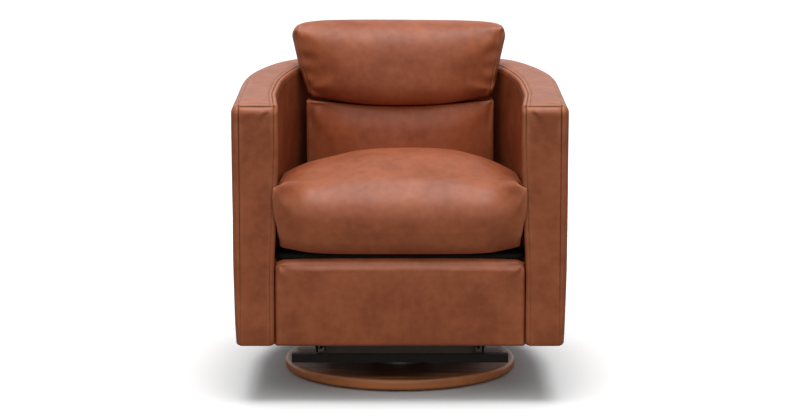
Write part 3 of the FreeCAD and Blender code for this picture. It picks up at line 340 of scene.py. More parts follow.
def shared_finish(build):
    """Material of several pieces. The first time, a function of the material's name finishes it."""
    found = bpy.data.materials.get(build.__name__)
    if found:
        return found
    made, tree, place, shader = new_material(build.__name__)
    fill(tree, shader, build(tree, place, finishes()))
    return made


def satin_leather(tree, place, looks):
    """Satin tan leather, paler along raised edges with wear and painted highlight, and darker in the seams.
    """
    grain = placed(tree, leather_grain, place, 620.0)
    wear_and_sheen = wire(tree, "ShaderNodeAttribute", attribute_name="wear_and_sheen").outputs["Fac"]
    darkening = wire(tree, "ShaderNodeAttribute", attribute_name="darkening").outputs["Fac"]
    base = mixed(tree, ranged(tree, grain["Mottle"], 0.36, 0.64), looks.leather_dark, looks.leather)
    # Paler where worn, and painted highlight along raised lips and on the arm tops.
    paled = times(tree, wear_and_sheen, ranged(tree, grain["Pull"], 0.35, 0.65, 0.15, 0.75))
    paler = mixed(tree, paled, base, looks.leather_wear_and_sheen)
    gloss = ranged(tree, grain["Pull"], 0.3, 0.7, 0.36, 0.47)
    return {
        "Base Color": mixed(tree, times(tree, darkening, 0.85), paler, SEAM_DARK),
        "Roughness": math_node(tree, "ADD", gloss, times(tree, darkening, 0.3)),
        "Specular IOR Level": 0.30,
        "Normal": bumped(tree, grain["Height"], 0.30, 0.00012),
    }


def thread(tree, place, looks):
    """Sewing thread."""
    weave = placed(tree, cloth_weave, place, 900.0)
    return {
        "Base Color": mixed(tree, weave["Shade"], scaled(looks.thread, 0.6), looks.thread),
        "Roughness": 0.62,
        "Normal": bumped(tree, weave["Height"], 0.4, 0.0002),
    }


def black_weave(tree, place, looks):
    """Dull black cloth with paler lint."""
    weave = placed(tree, cloth_weave, place, 420.0)
    return {
        "Base Color": mixed(tree, weave["Shade"], looks.black_cloth, scaled(looks.black_cloth, 2.2)),
        "Roughness": 0.9,
        "Specular IOR Level": 0.12,
        "Normal": bumped(tree, weave["Height"], 0.5, 0.0006),
    }


def wood_finish(name, shade, scale, rough, coat, dark_share, painted_top_shade=0.0, painted_highlight=0.0):
    """Wood with long grain, bare or lacquered, with painted shade on its up-facing top and a painted
    highlight along its upper edge.
    """
    made, tree, place, shader = new_material(name)
    grain = placed(tree, wood_grain, place, scale)
    dark = scaled(shade, dark_share)
    streaks = mixed(tree, grain["Streak"], dark, shade)
    lacquer = mixed(tree, times(tree, grain["Pore"], 0.45), streaks, dark)
    facing = wire(tree, "ShaderNodeNewGeometry").outputs["Normal"]
    upward = wire(tree, "ShaderNodeSeparateXYZ", {0: facing}).outputs["Z"]
    # Painted highlight: faces whose normals rise about 20 to 70 degrees are paled toward a lighter colour
    # along the upper edge.
    edge = times(tree, ranged(tree, upward, 0.35, 0.68, 0.0, painted_highlight),
                 ranged(tree, upward, 0.72, 0.93, 1.0, 0.0))
    paled = mixed(tree, edge, lacquer, tuple(min(1.0, 0.22 + part) for part in shade))
    # Painted shade: up-facing faces are darkened toward a tenth of the wood's colour, fully inside about 0.21
    # m from the middle and much less near the rim.
    level = vector_node(tree, "MULTIPLY", place, (1.0, 1.0, 0.0))
    far = wire(tree, "ShaderNodeVectorMath", {0: level}, operation="LENGTH").outputs["Value"]
    ragged = math_node(tree, "ADD", far, ranged(tree, grain["Streak"], 0.2, 0.8, -0.030, 0.030))
    top = times(tree, ranged(tree, upward, 0.90, 0.99, 0.0, painted_top_shade),
                ranged(tree, ragged, 0.205, 0.262, 1.0, 0.12))
    fill(tree, shader, {
        "Base Color": mixed(tree, top, paled, scaled(shade, 0.10)),
        "Roughness": ranged(tree, grain["Pore"], 0.3, 0.7, rough - 0.05, rough + 0.07),
        "Coat Weight": coat,
        "Coat Roughness": 0.25,
        "Specular IOR Level": 0.3,
        "Normal": bumped(tree, grain["Pore"], 0.18, 0.0003),
    })
    return made


def metal_finish(name, shade, metallic, rough, scale, scuffed):
    """Painted, plated or moulded surface with scuffs."""
    made, tree, place, shader = new_material(name)
    paint = placed(tree, scuffed_paint, place, scale)
    fill(tree, shader, {
        "Base Color": mixed(tree, times(tree, paint["Scuff"], 0.7), shade, scuffed),
        "Roughness": ranged(tree, paint["Scuff"], 0.0, 1.0, rough, rough + 0.18),
        "Metallic": metallic,
        "Normal": bumped(tree, paint["Peel"], 0.2, 0.0004),
    })
    return made


# Mesh helpers
def smooth_step(value, low, high):
    """0 below low, 1 above high, smooth between."""
    part = np.clip((np.asarray(value, float) - low) / (high - low), 0.0, 1.0)
    return part * part * (3.0 - 2.0 * part)


def wander(points, scale, seed):
    """Slow, even noise from -1 to 1 at each point."""
    shift = Vector((seed * 3.1, seed * 7.7, seed * 1.3))
    return np.array([noise.noise(Vector(point) * scale + shift) for point in points])


def uneven(points, *layers):
    """Sum of slow noises at each point, each given by its height, its scale and its seed."""
    return sum(height * wander(points, scale, seed) for height, scale, seed in layers)


def mesh_piece(name, points, faces, finish, marks=None):
    """Smooth-shaded object from points and faces, with its marks kept as attributes."""
    data = bpy.data.meshes.new(name)
    data.from_pydata([tuple(point) for point in points], [], [tuple(face) for face in faces])
    data.validate()
    data.polygons.foreach_set("use_smooth", [True] * len(data.polygons))
    for mark, values in (marks or {}).items():
        layer = data.attributes.new(mark, "FLOAT", "POINT")
        layer.data.foreach_set("value", np.asarray(values, np.float32))
    data.materials.append(finish)
    data.update()
    piece = bpy.data.objects.new(name, data)
    bpy.context.scene.collection.objects.link(piece)
    return piece


def grid_faces(rows, columns, closed=False, keep=None):
    """Quads over a grid of points, row by row."""
    faces = []
    last = columns if closed else columns - 1
    for row in range(rows - 1):
        for column in range(last):
            after = (column + 1) % columns
            if keep is None or keep(row, column):
                faces.append((row * columns + column, row * columns + after,
                              (row + 1) * columns + after, (row + 1) * columns + column))
    return faces


def subdivided(piece):
    rule = piece.modifiers.new("smooth", "SUBSURF")
    rule.levels = 1
    rule.render_levels = 1
    return piece


def settled(piece, node):
    """Let a padded piece stand for its solid and ride on the chair."""
    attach(piece, "chair")
    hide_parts(node)
    return piece


def leather_panel(name, node, points, faces, wear_and_sheen, darkening):
    """Leather with its wear, painted highlight and seam darkening in place of a padded solid."""
    marks = {"wear_and_sheen": np.minimum(1.0, wear_and_sheen), "darkening": np.minimum(1.0, darkening)}
    piece = mesh_piece(name, points, faces, shared_finish(satin_leather), marks)
    return subdivided(settled(piece, node))


def groove(distance, depth):
    """How far leather sinks at a distance from a seam."""
    return depth * np.exp(-(np.abs(distance) / 0.0021) ** 1.3)


def lip_wear_and_sheen(distance):
    """Wear and painted highlight along the raised lip beside a seam."""
    away = np.abs(distance)
    return np.exp(-((away - 0.0045) / 0.0032) ** 2) + 0.35 * np.exp(-away / 0.02)


def seam_darkened(distance, strength=0.3):
    """How much darker the leather is in a seam."""
    return strength * np.exp(-(np.abs(distance) / 0.0016) ** 2)


# Form of the tub
class PlanLine:
    """Outline seen from above, from its right end round the back to the left, built from lines and arcs."""

    def __init__(self):
        self.parts = []
        self.half = 0.0

    def add_line(self, start, stop, outward):
        start, stop = np.array(start, float), np.array(stop, float)
        span = float(np.linalg.norm(stop - start))
        self.parts.append(("line", self.half, span, start, (stop - start) / span, np.array(outward, float)))
        self.half += span

    def add_arc(self, centre, radius, first, last, facing=1):
        span = abs(radius * (last - first))
        self.parts.append(("arc", self.half, span, np.array(centre, float), radius, first, last, facing))
        self.half += span

    def at(self, along):
        """Place and outward direction at a distance along the line."""
        mirror = along > self.half
        along = 2 * self.half - along if mirror else along
        part = next((item for item in self.parts if along <= item[1] + item[2] + 1e-9), self.parts[-1])
        kind, begun, span, origin, *form = part
        step = min(max(along - begun, 0.0), span)
        if kind == "line":
            run, outward = form
            point = origin + run * step
        else:
            radius, first, last, facing = form
            angle = first + (last - first) * step / span
            direction = np.array([math.cos(angle), math.sin(angle)])
            point = origin + radius * direction
            outward = direction * facing
        flip = np.array([-1.0, 1.0]) if mirror else np.array([1.0, 1.0])
        return point * flip, outward * flip


def tub_arcs():
    """Where the straight arm ends, and the arcs at the right of the back: centre, radius and angles."""
    sizes = tub()
    first, second = math.radians(21), math.radians(81)
    shoulder, corner = sizes.shoulder_radius, sizes.corner_radius
    edge = (sizes.half_width - shoulder * (1 - math.cos(first))
            - corner * (math.cos(first) - math.cos(second)))
    sweep = edge / math.cos(second)
    rise = shoulder * math.sin(first) + corner * (math.sin(second) - math.sin(first))
    turn = sizes.back - rise - sweep * (1 - math.sin(second))
    reach = shoulder - corner
    start = sizes.half_width - shoulder
    return turn, (
        ((start, turn), shoulder, 0.0, first),
        ((start + reach * math.cos(first), turn + reach * math.sin(first)), corner, first, second),
        ((0.0, sizes.back - sweep), sweep, second, math.pi / 2),
    )


def outer_line(start_y=None, radius=0.013):
    """Outside of the tub. Without a start, it begins on the arm's front face and turns its corner."""
    sizes = tub()
    turn, arcs = tub_arcs()
    made = PlanLine()
    if start_y is None:
        x, start_y = sizes.half_width - radius, sizes.front + radius
        made.add_line((sizes.half_width - sizes.outer_seam, sizes.front), (x, sizes.front), (0, -1))
        made.add_arc((x, start_y), radius, -math.pi / 2, 0.0)
    made.add_line((sizes.half_width, start_y), (sizes.half_width, turn), (1, 0))
    for arc in arcs:
        made.add_arc(*arc)
    return made


def wall_at(y):
    """Thickness of the wall, which grows toward the arm front."""
    sizes = tub()
    part = np.clip((sizes.front + sizes.flare - np.asarray(y, float)) / sizes.flare, 0.0, 1.0)
    return sizes.wall + (sizes.arm_width - sizes.wall) * part


def inner_line(radius=0.009):
    """Inside of the tub, from the arm's front face round the seat."""
    sizes = tub()
    turn, arcs = tub_arcs()
    edge = sizes.half_width - sizes.arm_width
    straight = sizes.half_width - sizes.wall
    flare_end = sizes.front + sizes.flare
    slope = math.atan2(straight - edge, sizes.flare)
    made = PlanLine()
    made.add_line((edge + sizes.inner_seam, sizes.front), (edge + radius, sizes.front), (0, -1))
    made.add_arc((edge + radius, sizes.front + radius), radius, -math.pi / 2, -math.pi + 0.5 * slope)
    made.add_line((edge + 0.0007, sizes.front + radius), (straight, flare_end),
                  (-math.cos(slope), math.sin(slope)))
    made.add_line((straight, flare_end), (straight, turn), (-1, 0))
    for centre, size, first, last in arcs:
        made.add_arc(centre, size - sizes.wall, first, last, facing=-1)
    return made


def rim_at(y):
    """Height of the rim's top at a place along the depth."""
    sizes = tub()
    deep = sizes.back - sizes.front
    return sizes.rim_front + sizes.rim_rise * (np.asarray(y, float) - sizes.front) / deep


def wall_swell(y, height):
    """How far the padding stands in from the plain inside of the wall: most at its top, behind the arms."""
    lean = np.interp(height, [0.30, 0.42, 0.60], [-0.0055, 0.0, 0.007])
    full = 0.008 * np.exp(-((y - 0.10) / 0.14) ** 2) * np.interp(height, [0.45, 0.66], [0.1, 1.0])
    return (lean + full) * (1 - smooth_step(y, 0.27, 0.40))


def top_round(outward_y):
    """Radius of the rim's outer edge, larger where it turns over the arm front."""
    sizes = tub()
    return sizes.outer_round + (sizes.front_round - sizes.outer_round) * max(0.0, -outward_y)


def round_drop(inset, radius):
    """How far a rounded edge lies below its top at a distance in from the face."""
    share_in = min(max(1 - inset / radius, 0.0), 1.0)
    return radius * (1 - math.sqrt(1 - share_in * share_in))


def foot_tuck(height, draw):
    """How far leather is drawn in toward the tub's lower edge."""
    return draw * max(0.0, 1 - (height - tub().bottom) / FOOT_HEIGHT) ** 1.8


def seam_shown(height, rim):
    """How plainly the upright seams of an arm front show: pulled flat below, open near the top."""
    return 0.28 + 0.72 * float(smooth_step(height, rim - 0.11, rim - 0.02))


def back_seams(total):
    """Places of the two upright seams on the outside back."""
    return (0.36 * total, 0.64 * total)


def stations(total, spacing, edge_marks, edge_room, seams=()):
    """Distances along a line: even ones, closer ones beside its seams, and given ones at both its ends."""
    count = int(round(total / spacing))
    marks = [total * index / count for index in range(count + 1)]
    marks = [mark for mark in marks if all(abs(mark - seam) > SEAM_STEPS[-1] + 0.004 for seam in seams)]
    for seam in seams:
        for step in SEAM_STEPS:
            marks += [seam - step, seam + step]
    between = {round(mark, 6) for mark in marks if edge_room < round(mark, 6) < total - edge_room}
    return np.array(sorted({*between, *edge_marks, *(total - mark for mark in edge_marks)}))


def strip_places(steps, span, count):
    """Places across a strip, closer together beside the seams at its edges."""
    return [*steps, *np.linspace(0.014, span - 0.014, count), *(span - step for step in reversed(steps))]


# Leather of the tub
def outside_rows(rim, radius, foot):
    """Cross-section of the outside cover from its folded hem up: inset, height, distance to its top seam.

    Its foot is drawn in beside the arm front, where foot is 1, and lies on the rails where foot is 0.
    """
    sizes = tub()
    seam, bottom = sizes.outer_seam, sizes.bottom
    fullness = 0.0028
    draw = 0.0012 + 0.0108 * foot
    hem = ((0.034, 0.0012), (0.020, 0.0008), (draw + 0.0046, 0.0), (draw + 0.0014, 0.0010),
           (draw + 0.0003, 0.004))
    rows = [(inset, bottom + rise, NO_SEAM) for inset, rise in hem]
    start, stop = bottom + 0.011, rim - radius - 0.003
    for part in np.linspace(0, 1, 26):
        height = start + (stop - start) * part
        lean = (0.0006 + 0.0030 * foot) * (1 - part) ** 1.3 - fullness * min(1.0, 3 * part)
        rows.append((foot_tuck(height, draw) + lean, height, NO_SEAM))
    for angle in np.linspace(0.10, math.acos(1 - (seam - 0.0030) / radius), 6):
        inset = radius * (1 - math.cos(angle))
        full = fullness * (1 - inset / seam)
        rows.append((inset - full, rim - radius * (1 - math.sin(angle)) + 0.5 * full, seam - inset))
    for step in (0.0020, 0.0011, 0.0004, 0.0):
        sink = float(groove(step, EDGE_SEAM * sizes.seam_depth))
        rows.append((seam - step, rim - round_drop(seam - step, radius) - sink, step))
    rows.append((seam + HEM_LAP, rim - HEM_DROP, 0.0))
    return rows


def build_outside_cover():
    """Leather round the outside of the tub, sewn at both back corners and folded under at its foot."""
    sizes = tub()
    line = outer_line()
    total = 2 * line.half
    seams = back_seams(total)
    edge_marks = [0.0, 0.0006, 0.0013, 0.0024, 0.004, *np.linspace(0.006, 0.024, 8)]
    marks = stations(total, 0.012, edge_marks, 0.026, seams)
    points, wear_and_sheen, darkening, gaps = [], [], [], []
    for along in marks:
        (x, y), (nx, ny) = line.at(along)
        rim = float(rim_at(y))
        radius = top_round(ny)
        edge_gap = min(along, total - along)
        gap = min(edge_gap, *(abs(along - seam) for seam in seams))
        gaps.append(gap)
        foot = float(1 - smooth_step(y, sizes.front + 0.003, sizes.front + 0.024))
        sideways = outside_rows(rim, radius, foot)
        backward = outside_rows(rim, radius, 0.1 * foot)
        for (inset, height, off), (inset_y, _, _) in zip(sideways, backward):
            clear = seam_shown(height, rim) if edge_gap < FRONT_REACH else 1.0
            sink = clear * float(groove(gap, sizes.seam_depth))
            points.append((x - nx * (inset + sink), y - ny * (inset_y + sink), height))
            wear_and_sheen.append(clear * lip_wear_and_sheen(gap) + EDGE_SEAM * lip_wear_and_sheen(off))
            darkening.append(clear * seam_darkened(gap) + EDGE_SEAM * seam_darkened(off))
    points = np.array(points)
    columns = len(points) // len(marks)
    puff = uneven(points, (0.0012, 5.0, 1), (0.0005, 16.0, 2))
    for index, along in enumerate(marks):
        _, (nx, ny) = line.at(along)
        rows = slice(index * columns, (index + 1) * columns)
        inside = np.minimum(puff[rows], 0.0008) * min(1.0, gaps[index] / 0.03)
        points[rows, 0] += nx * inside
        points[rows, 1] += ny * inside
    faces = grid_faces(len(marks), columns)
    return leather_panel("outside_leather", "outside_cover", points, faces, wear_and_sheen, darkening)


def inside_rows(rim, facing_front):
    """Cross-section of the inside pad from its top seam down: inset, height, distance to the seam.

    Its top edge is rounder where it turns over the arm front, where facing_front is 1.
    """
    sizes = tub()
    seam, bottom = sizes.inner_seam, sizes.bottom
    fold = 0.0070
    radius = fold + (sizes.front_round - fold) * facing_front
    rows = [(seam + HEM_LAP, rim - HEM_DROP, 0.0)]
    for step in (0.0, 0.0007, 0.0015, 0.0024):
        drop = round_drop(seam - step, radius)
        rows.append((seam - step, rim - drop - float(groove(step, sizes.seam_depth)), step))
    for angle in np.linspace(math.acos(max(1 - (seam - 0.0030) / radius, 0.0)), 0.0, 7):
        inset = radius * (1 - math.cos(angle))
        drop = radius * (1 - math.sin(angle))
        rows.append((inset, rim - drop, max(seam - inset, 0.0) + drop))
    start, stop = rim - 0.007 - radius, 0.331
    for part in np.linspace(0, 1, 20):
        rows.append((-0.0025 * math.sin(math.pi * part), start + (stop - start) * part, NO_SEAM))
    for height in np.linspace(0.315, bottom + 0.006, INSIDE_FOOT - 2):
        rows.append((0.0, height, NO_SEAM))
    return rows + [(inset, bottom + 0.001, NO_SEAM) for inset in (0.004, 0.012)]


def build_inside_pad():
    """Leather round the inside of the arms and back, turned over the rim's inner edge and the arm fronts."""
    sizes = tub()
    line = inner_line()
    total = 2 * line.half
    edge_marks = [0.0, 0.0004, 0.001, 0.0018, 0.003, *np.linspace(0.0045, 0.0165, 8), 0.022, 0.030, 0.036]
    marks = stations(total, 0.013, edge_marks, 0.040)
    points, wear_and_sheen, darkening, depths = [], [], [], []
    for along in marks:
        (x, y), (nx, ny) = line.at(along)
        gap = min(along, total - along)
        rim = float(rim_at(y))
        depths.append(y)
        in_front = y < sizes.front + sizes.flare + 0.01
        swell_x, swell_y = (-math.copysign(1.0, x), 0.0) if in_front else (nx, ny)
        for inset, height, off in inside_rows(rim, max(0.0, -ny)):
            clear = seam_shown(height, rim) if gap < FRONT_REACH else 1.0
            calm = 1.0 if inset > 0 else min(1.0, gap / 0.08)
            deep = inset * calm + clear * float(groove(gap, sizes.seam_depth))
            swell = float(wall_swell(y - sizes.wall * ny, height))
            points.append((x - nx * deep + swell_x * swell, y - ny * deep + swell_y * swell, height))
            wear_and_sheen.append(clear * lip_wear_and_sheen(gap) + lip_wear_and_sheen(off))
            darkening.append(clear * seam_darkened(gap) + seam_darkened(off))
    columns = len(points) // len(marks)
    full = columns - INSIDE_FOOT

    def shown(row, column):
        return column < full - 1 or max(depths[row], depths[row + 1]) < sizes.front + 0.026

    faces = grid_faces(len(marks), columns, keep=shown)
    # Behind the arm fronts a flap runs in under the deck
    before = None
    for index, along in enumerate(marks):
        (x, y), (nx, ny) = line.at(along)
        if y < sizes.front + 0.030:
            before = None
            continue
        reach = sizes.deck_inset - float(wall_at(y - sizes.wall * ny)) + 0.0010
        chain = [index * columns + full - 1]
        for part, drop in ((0.25, 0.0020), (0.6, 0.0006), (1.0, -0.0040)):
            chain.append(len(points))
            points.append((x + nx * reach * part, y + ny * reach * part, deck_box[0].z + 0.0005 - drop))
            wear_and_sheen.append(0.0)
            # Painted shade: the flap under the deck is darkened a little.
            darkening.append(0.2)
        if before:
            faces += [(before[step], chain[step], chain[step + 1], before[step + 1]) for step in range(3)]
        before = chain
    points = np.array(points)
    points += 0.0006 * np.stack([wander(points, 9.0, seed) for seed in (3, 4, 5)], axis=1)
    return leather_panel("inside_leather", "inside_pad", points, faces, wear_and_sheen, darkening)


def build_rim_band():
    """Leather strip along the top of the arms and back, between the outer and the inner seam."""
    sizes = tub()
    line = outer_line(sizes.front + sizes.cross_seam)
    total = 2 * line.half
    marks = stations(total, 0.012, [0.0, 0.0007, 0.0015, 0.0026, 0.0042, 0.0066, 0.010], 0.014)
    steps = [0.0, 0.0007, 0.0015, 0.0026, 0.0045, 0.0060, 0.0075, 0.0090]
    rows = [(0.0, HEM_DROP), *((mark, 0.0) for mark in marks), (total, HEM_DROP)]
    points, wear_and_sheen, darkening = [], [], []
    for along, hem in rows:
        (x, y), (nx, ny) = line.at(along)
        gap = min(along, total - along)
        rim = float(rim_at(y))
        low = sizes.outer_seam
        high = float(wall_at(y) + wall_swell(y, rim_at(y))) - sizes.inner_seam
        span = high - low
        end = float(groove(gap, CROSS_GROOVE)) + round_drop(sizes.cross_seam + gap, sizes.front_round) + hem
        swell = 0.0014 * math.exp(-((gap - 0.008) / 0.005) ** 2)
        calm = float(0.15 + 0.85 * smooth_step(gap, 0.0, 0.02))
        section = [(low - HEM_LAP, rim - HEM_DROP, 0.0)]
        for place in strip_places(steps, span, 9):
            clear = EDGE_SEAM if place < span / 2 else 1.0
            off = min(place, span - place)
            crown = 0.0030 * math.sin(math.pi * place / span) ** 0.7 * calm
            side = round_drop(low + place, sizes.outer_round)
            stitched = float(groove(span - place - BAND_STITCH, 0.0007))
            sink = clear * float(groove(off, sizes.seam_depth)) + stitched
            section.append((low + place, rim - sink + crown + swell - max(end, side), off / clear))
        section.append((high + HEM_LAP, rim - HEM_DROP, 0.0))
        for inset, height, off in section:
            points.append((x - nx * inset, y - ny * inset, height))
            # The 0.30 makes the whole arm top paler as painted highlight; the lip terms beside the seams add
            # wear and painted highlight.
            wear_and_sheen.append(0.30 + lip_wear_and_sheen(off) + lip_wear_and_sheen(gap))
            darkening.append(seam_darkened(off) + seam_darkened(high - inset - BAND_STITCH, 0.35) + seam_darkened(gap, 0.7))
    points = np.array(points)
    points[:, 2] += uneven(points, (0.0007, 11.0, 6), (0.0004, 34.0, 7))
    faces = grid_faces(len(rows), len(points) // len(rows))
    return leather_panel("rim_leather", "rim_pad", points, faces, wear_and_sheen, darkening)


def build_arm_front(side, sign):
    """Leather panel on the front of one arm, rolled over the top edge to the crosswise seam."""
    sizes = tub()
    inner = sizes.half_width - sizes.arm_width + sizes.inner_seam
    span = sizes.half_width - sizes.outer_seam - inner
    rim = float(rim_at(sizes.front))
    radius, seam, bottom = sizes.front_round, sizes.cross_seam, sizes.bottom
    hem = ((0.024, 0.004), (0.013, 0.0006), (0.0066, 0.0), (0.0041, 0.0012), (0.0029, 0.0045))
    rows = [(inset, bottom + rise, NO_SEAM) for inset, rise in hem]
    for height in np.linspace(bottom + 0.011, rim - radius - 0.002, 44):
        rows.append((foot_tuck(height, 0.0023), height, NO_SEAM))
    for angle in np.linspace(0.08, math.acos(1 - (seam - 0.0030) / radius), 9):
        inset = radius * (1 - math.cos(angle))
        rows.append((inset, rim - radius * (1 - math.sin(angle)), (seam - inset) * 1.3))
    for step in (0.0020, 0.0010, 0.0003, 0.0):
        rows.append((seam - step, rim - round_drop(seam - step, radius), step))
    rows.append((seam + 0.0008, rim - 0.012, 0.0))
    across = strip_places([0.0, 0.0007, 0.0015, 0.0026, 0.0045, 0.0080], span, 10)
    columns = [(-0.0014, 0.0050), *((place, 0.0) for place in across), (span + 0.0014, 0.0050)]
    points, wear_and_sheen, darkening = [], [], []
    for inset, height, level in rows:
        clear = seam_shown(height, rim)
        sink = float(groove(level, CROSS_GROOVE))
        for edge, tucked in columns:
            place = min(max(edge, 0.0), span)
            off = min(place, span - place)
            lean = float(wall_swell(sizes.front, height)) * (1 - place / span)
            calm = math.sin(math.pi * place / span) ** 0.6
            puff = 0.0030 * calm * float(smooth_step(height, bottom, bottom + 0.05))
            roll = 0.0022 * calm * math.exp(-((height - (rim - 0.014)) / 0.009) ** 2)
            deep = inset + clear * float(groove(off, sizes.seam_depth)) - puff - roll + tucked
            points.append((sign * (inner + edge - lean), sizes.front + deep, height - sink))
            wear_and_sheen.append(clear * lip_wear_and_sheen(off) + lip_wear_and_sheen(level))
            darkening.append(clear * seam_darkened(off) + seam_darkened(level, 0.7))
    points = np.array(points)
    # A fold runs slantwise out from the upper inner corner
    away = points - np.array([sign * (inner + 0.006), sizes.front, rim - 0.016])
    along = away[:, 0] * sign * 0.62 - away[:, 2] * 0.78
    beside = away[:, 0] * sign * 0.78 + away[:, 2] * 0.62
    fade = smooth_step(along, -0.004, 0.006) * (1 - smooth_step(along, 0.016, 0.042))
    points[:, 1] += fade * (0.0034 * np.exp(-(beside / 0.0038) ** 2)
                            - 0.0024 * np.exp(-((beside - 0.009) / 0.005) ** 2))
    points[:, 1] += uneven(points, (0.0011, 8.0, 8 + sign), (0.0004, 30.0, 11 + sign))
    faces = grid_faces(len(rows), len(columns))
    if sign < 0:
        faces = [face[::-1] for face in faces]
    return leather_panel(f"arm_front_{side}_leather", f"arm_front_{side}", points, faces, wear_and_sheen, darkening)


def build_front_rail():
    """Puffed leather panel under the seat, rolled over at its top and drawn in at its top corners."""
    low, high = apron_box
    sizes = tub()
    back = high.y
    bottom, top = sizes.bottom, high.z - 0.0075
    face = low.y + 0.006
    quarter = np.linspace(-math.pi / 2, math.pi / 2, 61)
    across = np.sign(np.sin(quarter)) * np.abs(np.sin(quarter)) ** 0.8
    up = 0.5 + 0.5 * np.sin(quarter)
    left, right = across[0], across[-1]
    edges = [(2, left), (1, left), *((0, part) for part in across), (1, right), (2, right)]
    points, wear_and_sheen = [], []
    for level in [*up, None, None]:
        height = top if level is None else bottom + (top - bottom) * level
        wide = high.x + 0.0008 - float(wall_swell(sizes.front, height))
        for side, part in edges:
            x = part * (wide + (0.012 if side == 2 else 0.0))
            drop = 0.0050 * float(smooth_step(abs(part), 0.93, 1.0) * smooth_step(height, top - 0.05, top))
            arch = 0.0035 * (1 - abs(part) ** 4) * float(smooth_step(height, top - 0.03, top))
            gaps = ((wide - abs(x), 0.009, 0.009), (height - bottom, 0.007, 0.005),
                    (top - height, 0.030, 0.024))
            deep = sum(round_drop(gap, tall) * back_by / tall for gap, tall, back_by in gaps)
            puff = 0.0075 * (1 - abs(part) ** 3) ** 0.8 * math.sin(math.pi * (level or 0.0)) ** 0.6
            y = back if side or level is None else min(face + deep - puff, back)
            points.append((x, y, height + arch - drop))
            # Paler band about 10 mm in from the top and side edges: wear and painted highlight along the
            # rolled edge.
            wear_and_sheen.append(0.5 * math.exp(-abs(min(wide - abs(x), top - height) - 0.010) / 0.008))
    points = np.array(points)
    # Folds run out from both top corners, at the width of the last row
    for sign in (-1, 1):
        inward, raised = sign * (wide - 0.006) - points[:, 0], points[:, 2] - (top - 0.010)
        near = np.exp(-((np.hypot(inward, raised) - 0.014) / 0.018) ** 2) * (points[:, 1] < back - 0.001)
        points[:, 1] += 0.0024 * near * np.cos(5.0 * np.arctan2(raised, inward) + 0.6)
    # An uneven ridge runs along under the top roll
    calm = points[:, 1] < back - 0.001
    level = top - points[:, 2] - 0.019 + 0.0035 * wander(points * (1, 0, 0), 14.0, 16)
    strength = 0.55 + 0.45 * wander(points * (1, 0, 0), 22.0, 17)
    ends = 1 - smooth_step(np.abs(points[:, 0]), high.x - 0.020, high.x - 0.004)
    points[:, 1] -= calm * ends * strength * (0.0030 * np.exp(-(level / 0.0042) ** 2)
                                              - 0.0018 * np.exp(-((level + 0.009) / 0.0045) ** 2))
    points[:, 1] += calm * uneven(points, (0.0014, 7.0, 14), (0.0005, 24.0, 15))
    faces = grid_faces(len(up) + 2, len(edges))
    darkening = np.zeros(len(points))
    return leather_panel("front_rail_leather", "front_rail_pad", points, faces, wear_and_sheen, darkening)


# Cushion covers
def cover_loop(front, back, low, high, radii):
    """Rounded outline through the depth: along the foot, up the front, over the top and down the back."""
    foot_front, top_front, top_back, foot_back = radii
    foot_y, top_y = front + foot_front, front + top_front
    foot_z, top_z = low + foot_front, high - top_front
    rear_top_y, rear_top_z = back - top_back, high - top_back
    rear_foot_y, rear_foot_z = back - foot_back, low + foot_back
    sides = (
        ("foot", (rear_foot_y, low), (foot_y, low), (foot_y, foot_z), foot_front, -90),
        ("front", (front, foot_z), (front, top_z), (top_y, top_z), top_front, 180),
        ("top", (top_y, high), (rear_top_y, high), (rear_top_y, rear_top_z), top_back, 90),
        ("back", (back, rear_top_z), (back, rear_foot_z), (rear_foot_y, rear_foot_z), foot_back, 0),
    )
    points = []
    for name, start, stop, centre, radius, first in sides:
        for part in np.linspace(0, 1, LOOP_COUNTS[name], endpoint=False):
            points.append((start[0] + (stop[0] - start[0]) * part, start[1] + (stop[1] - start[1]) * part))
        for angle in np.radians(np.linspace(first, first - 90, LOOP_COUNTS["corner"], endpoint=False)):
            points.append((centre[0] + radius * math.cos(angle), centre[1] + radius * math.sin(angle)))
    return np.array(points)


def cover_mesh(half, section, shape, cap_bulge):
    """Points and faces of a sewn cover: a panel wrapped round from side to side, and a panel at each end."""
    ends = [0.0, 0.0035, 0.0080, 0.0140, 0.0220]
    middle = np.linspace(-half + 0.033, half - 0.033, 41)
    across = [*(-half + step for step in ends), *middle, *(half - step for step in reversed(ends))]
    loops = []
    for x in across:
        outline = section(x / half)
        loops.append(np.column_stack([np.full(len(outline), x), outline]))
    count = len(loops[0])
    points = [point for loop in loops for point in loop]
    faces = grid_faces(len(loops), count, closed=True)
    gaps = [half - abs(x) for x in across for _ in range(count)]
    for sign, loop, first in ((-1, loops[0], 0), (1, loops[-1], (len(loops) - 1) * count)):
        low, high = loop.min(axis=0), loop.max(axis=0)
        centre = (low + high) / 2
        _, deep, tall = (high - low) / 2
        reach = np.array([0.0, max(deep - tall, 0.0), max(tall - deep, 0.0)])
        core = centre + np.clip(loop - centre, -reach, reach)
        before = list(range(first, first + count))
        for scale in CAP_STEPS:
            ring = core + (loop - core) * scale
            ring[:, 0] += sign * cap_bulge * (1 - scale ** 2) ** 0.8
            after = list(range(len(points), len(points) + count))
            points += list(ring)
            gaps += list(np.linalg.norm((loop - core) * (1 - scale), axis=1))
            for index in range(count):
                following = (index + 1) % count
                face = (before[index], before[following], after[following], after[index])
                faces.append(face[::sign])
            before = after
        faces.append(tuple(before[::sign]))
    seam = np.zeros(len(points))
    seam[:count] = 1.0
    seam[(len(loops) - 1) * count:len(loops) * count] = 1.0
    return shape(np.array(points)), faces, seam, np.array(gaps)


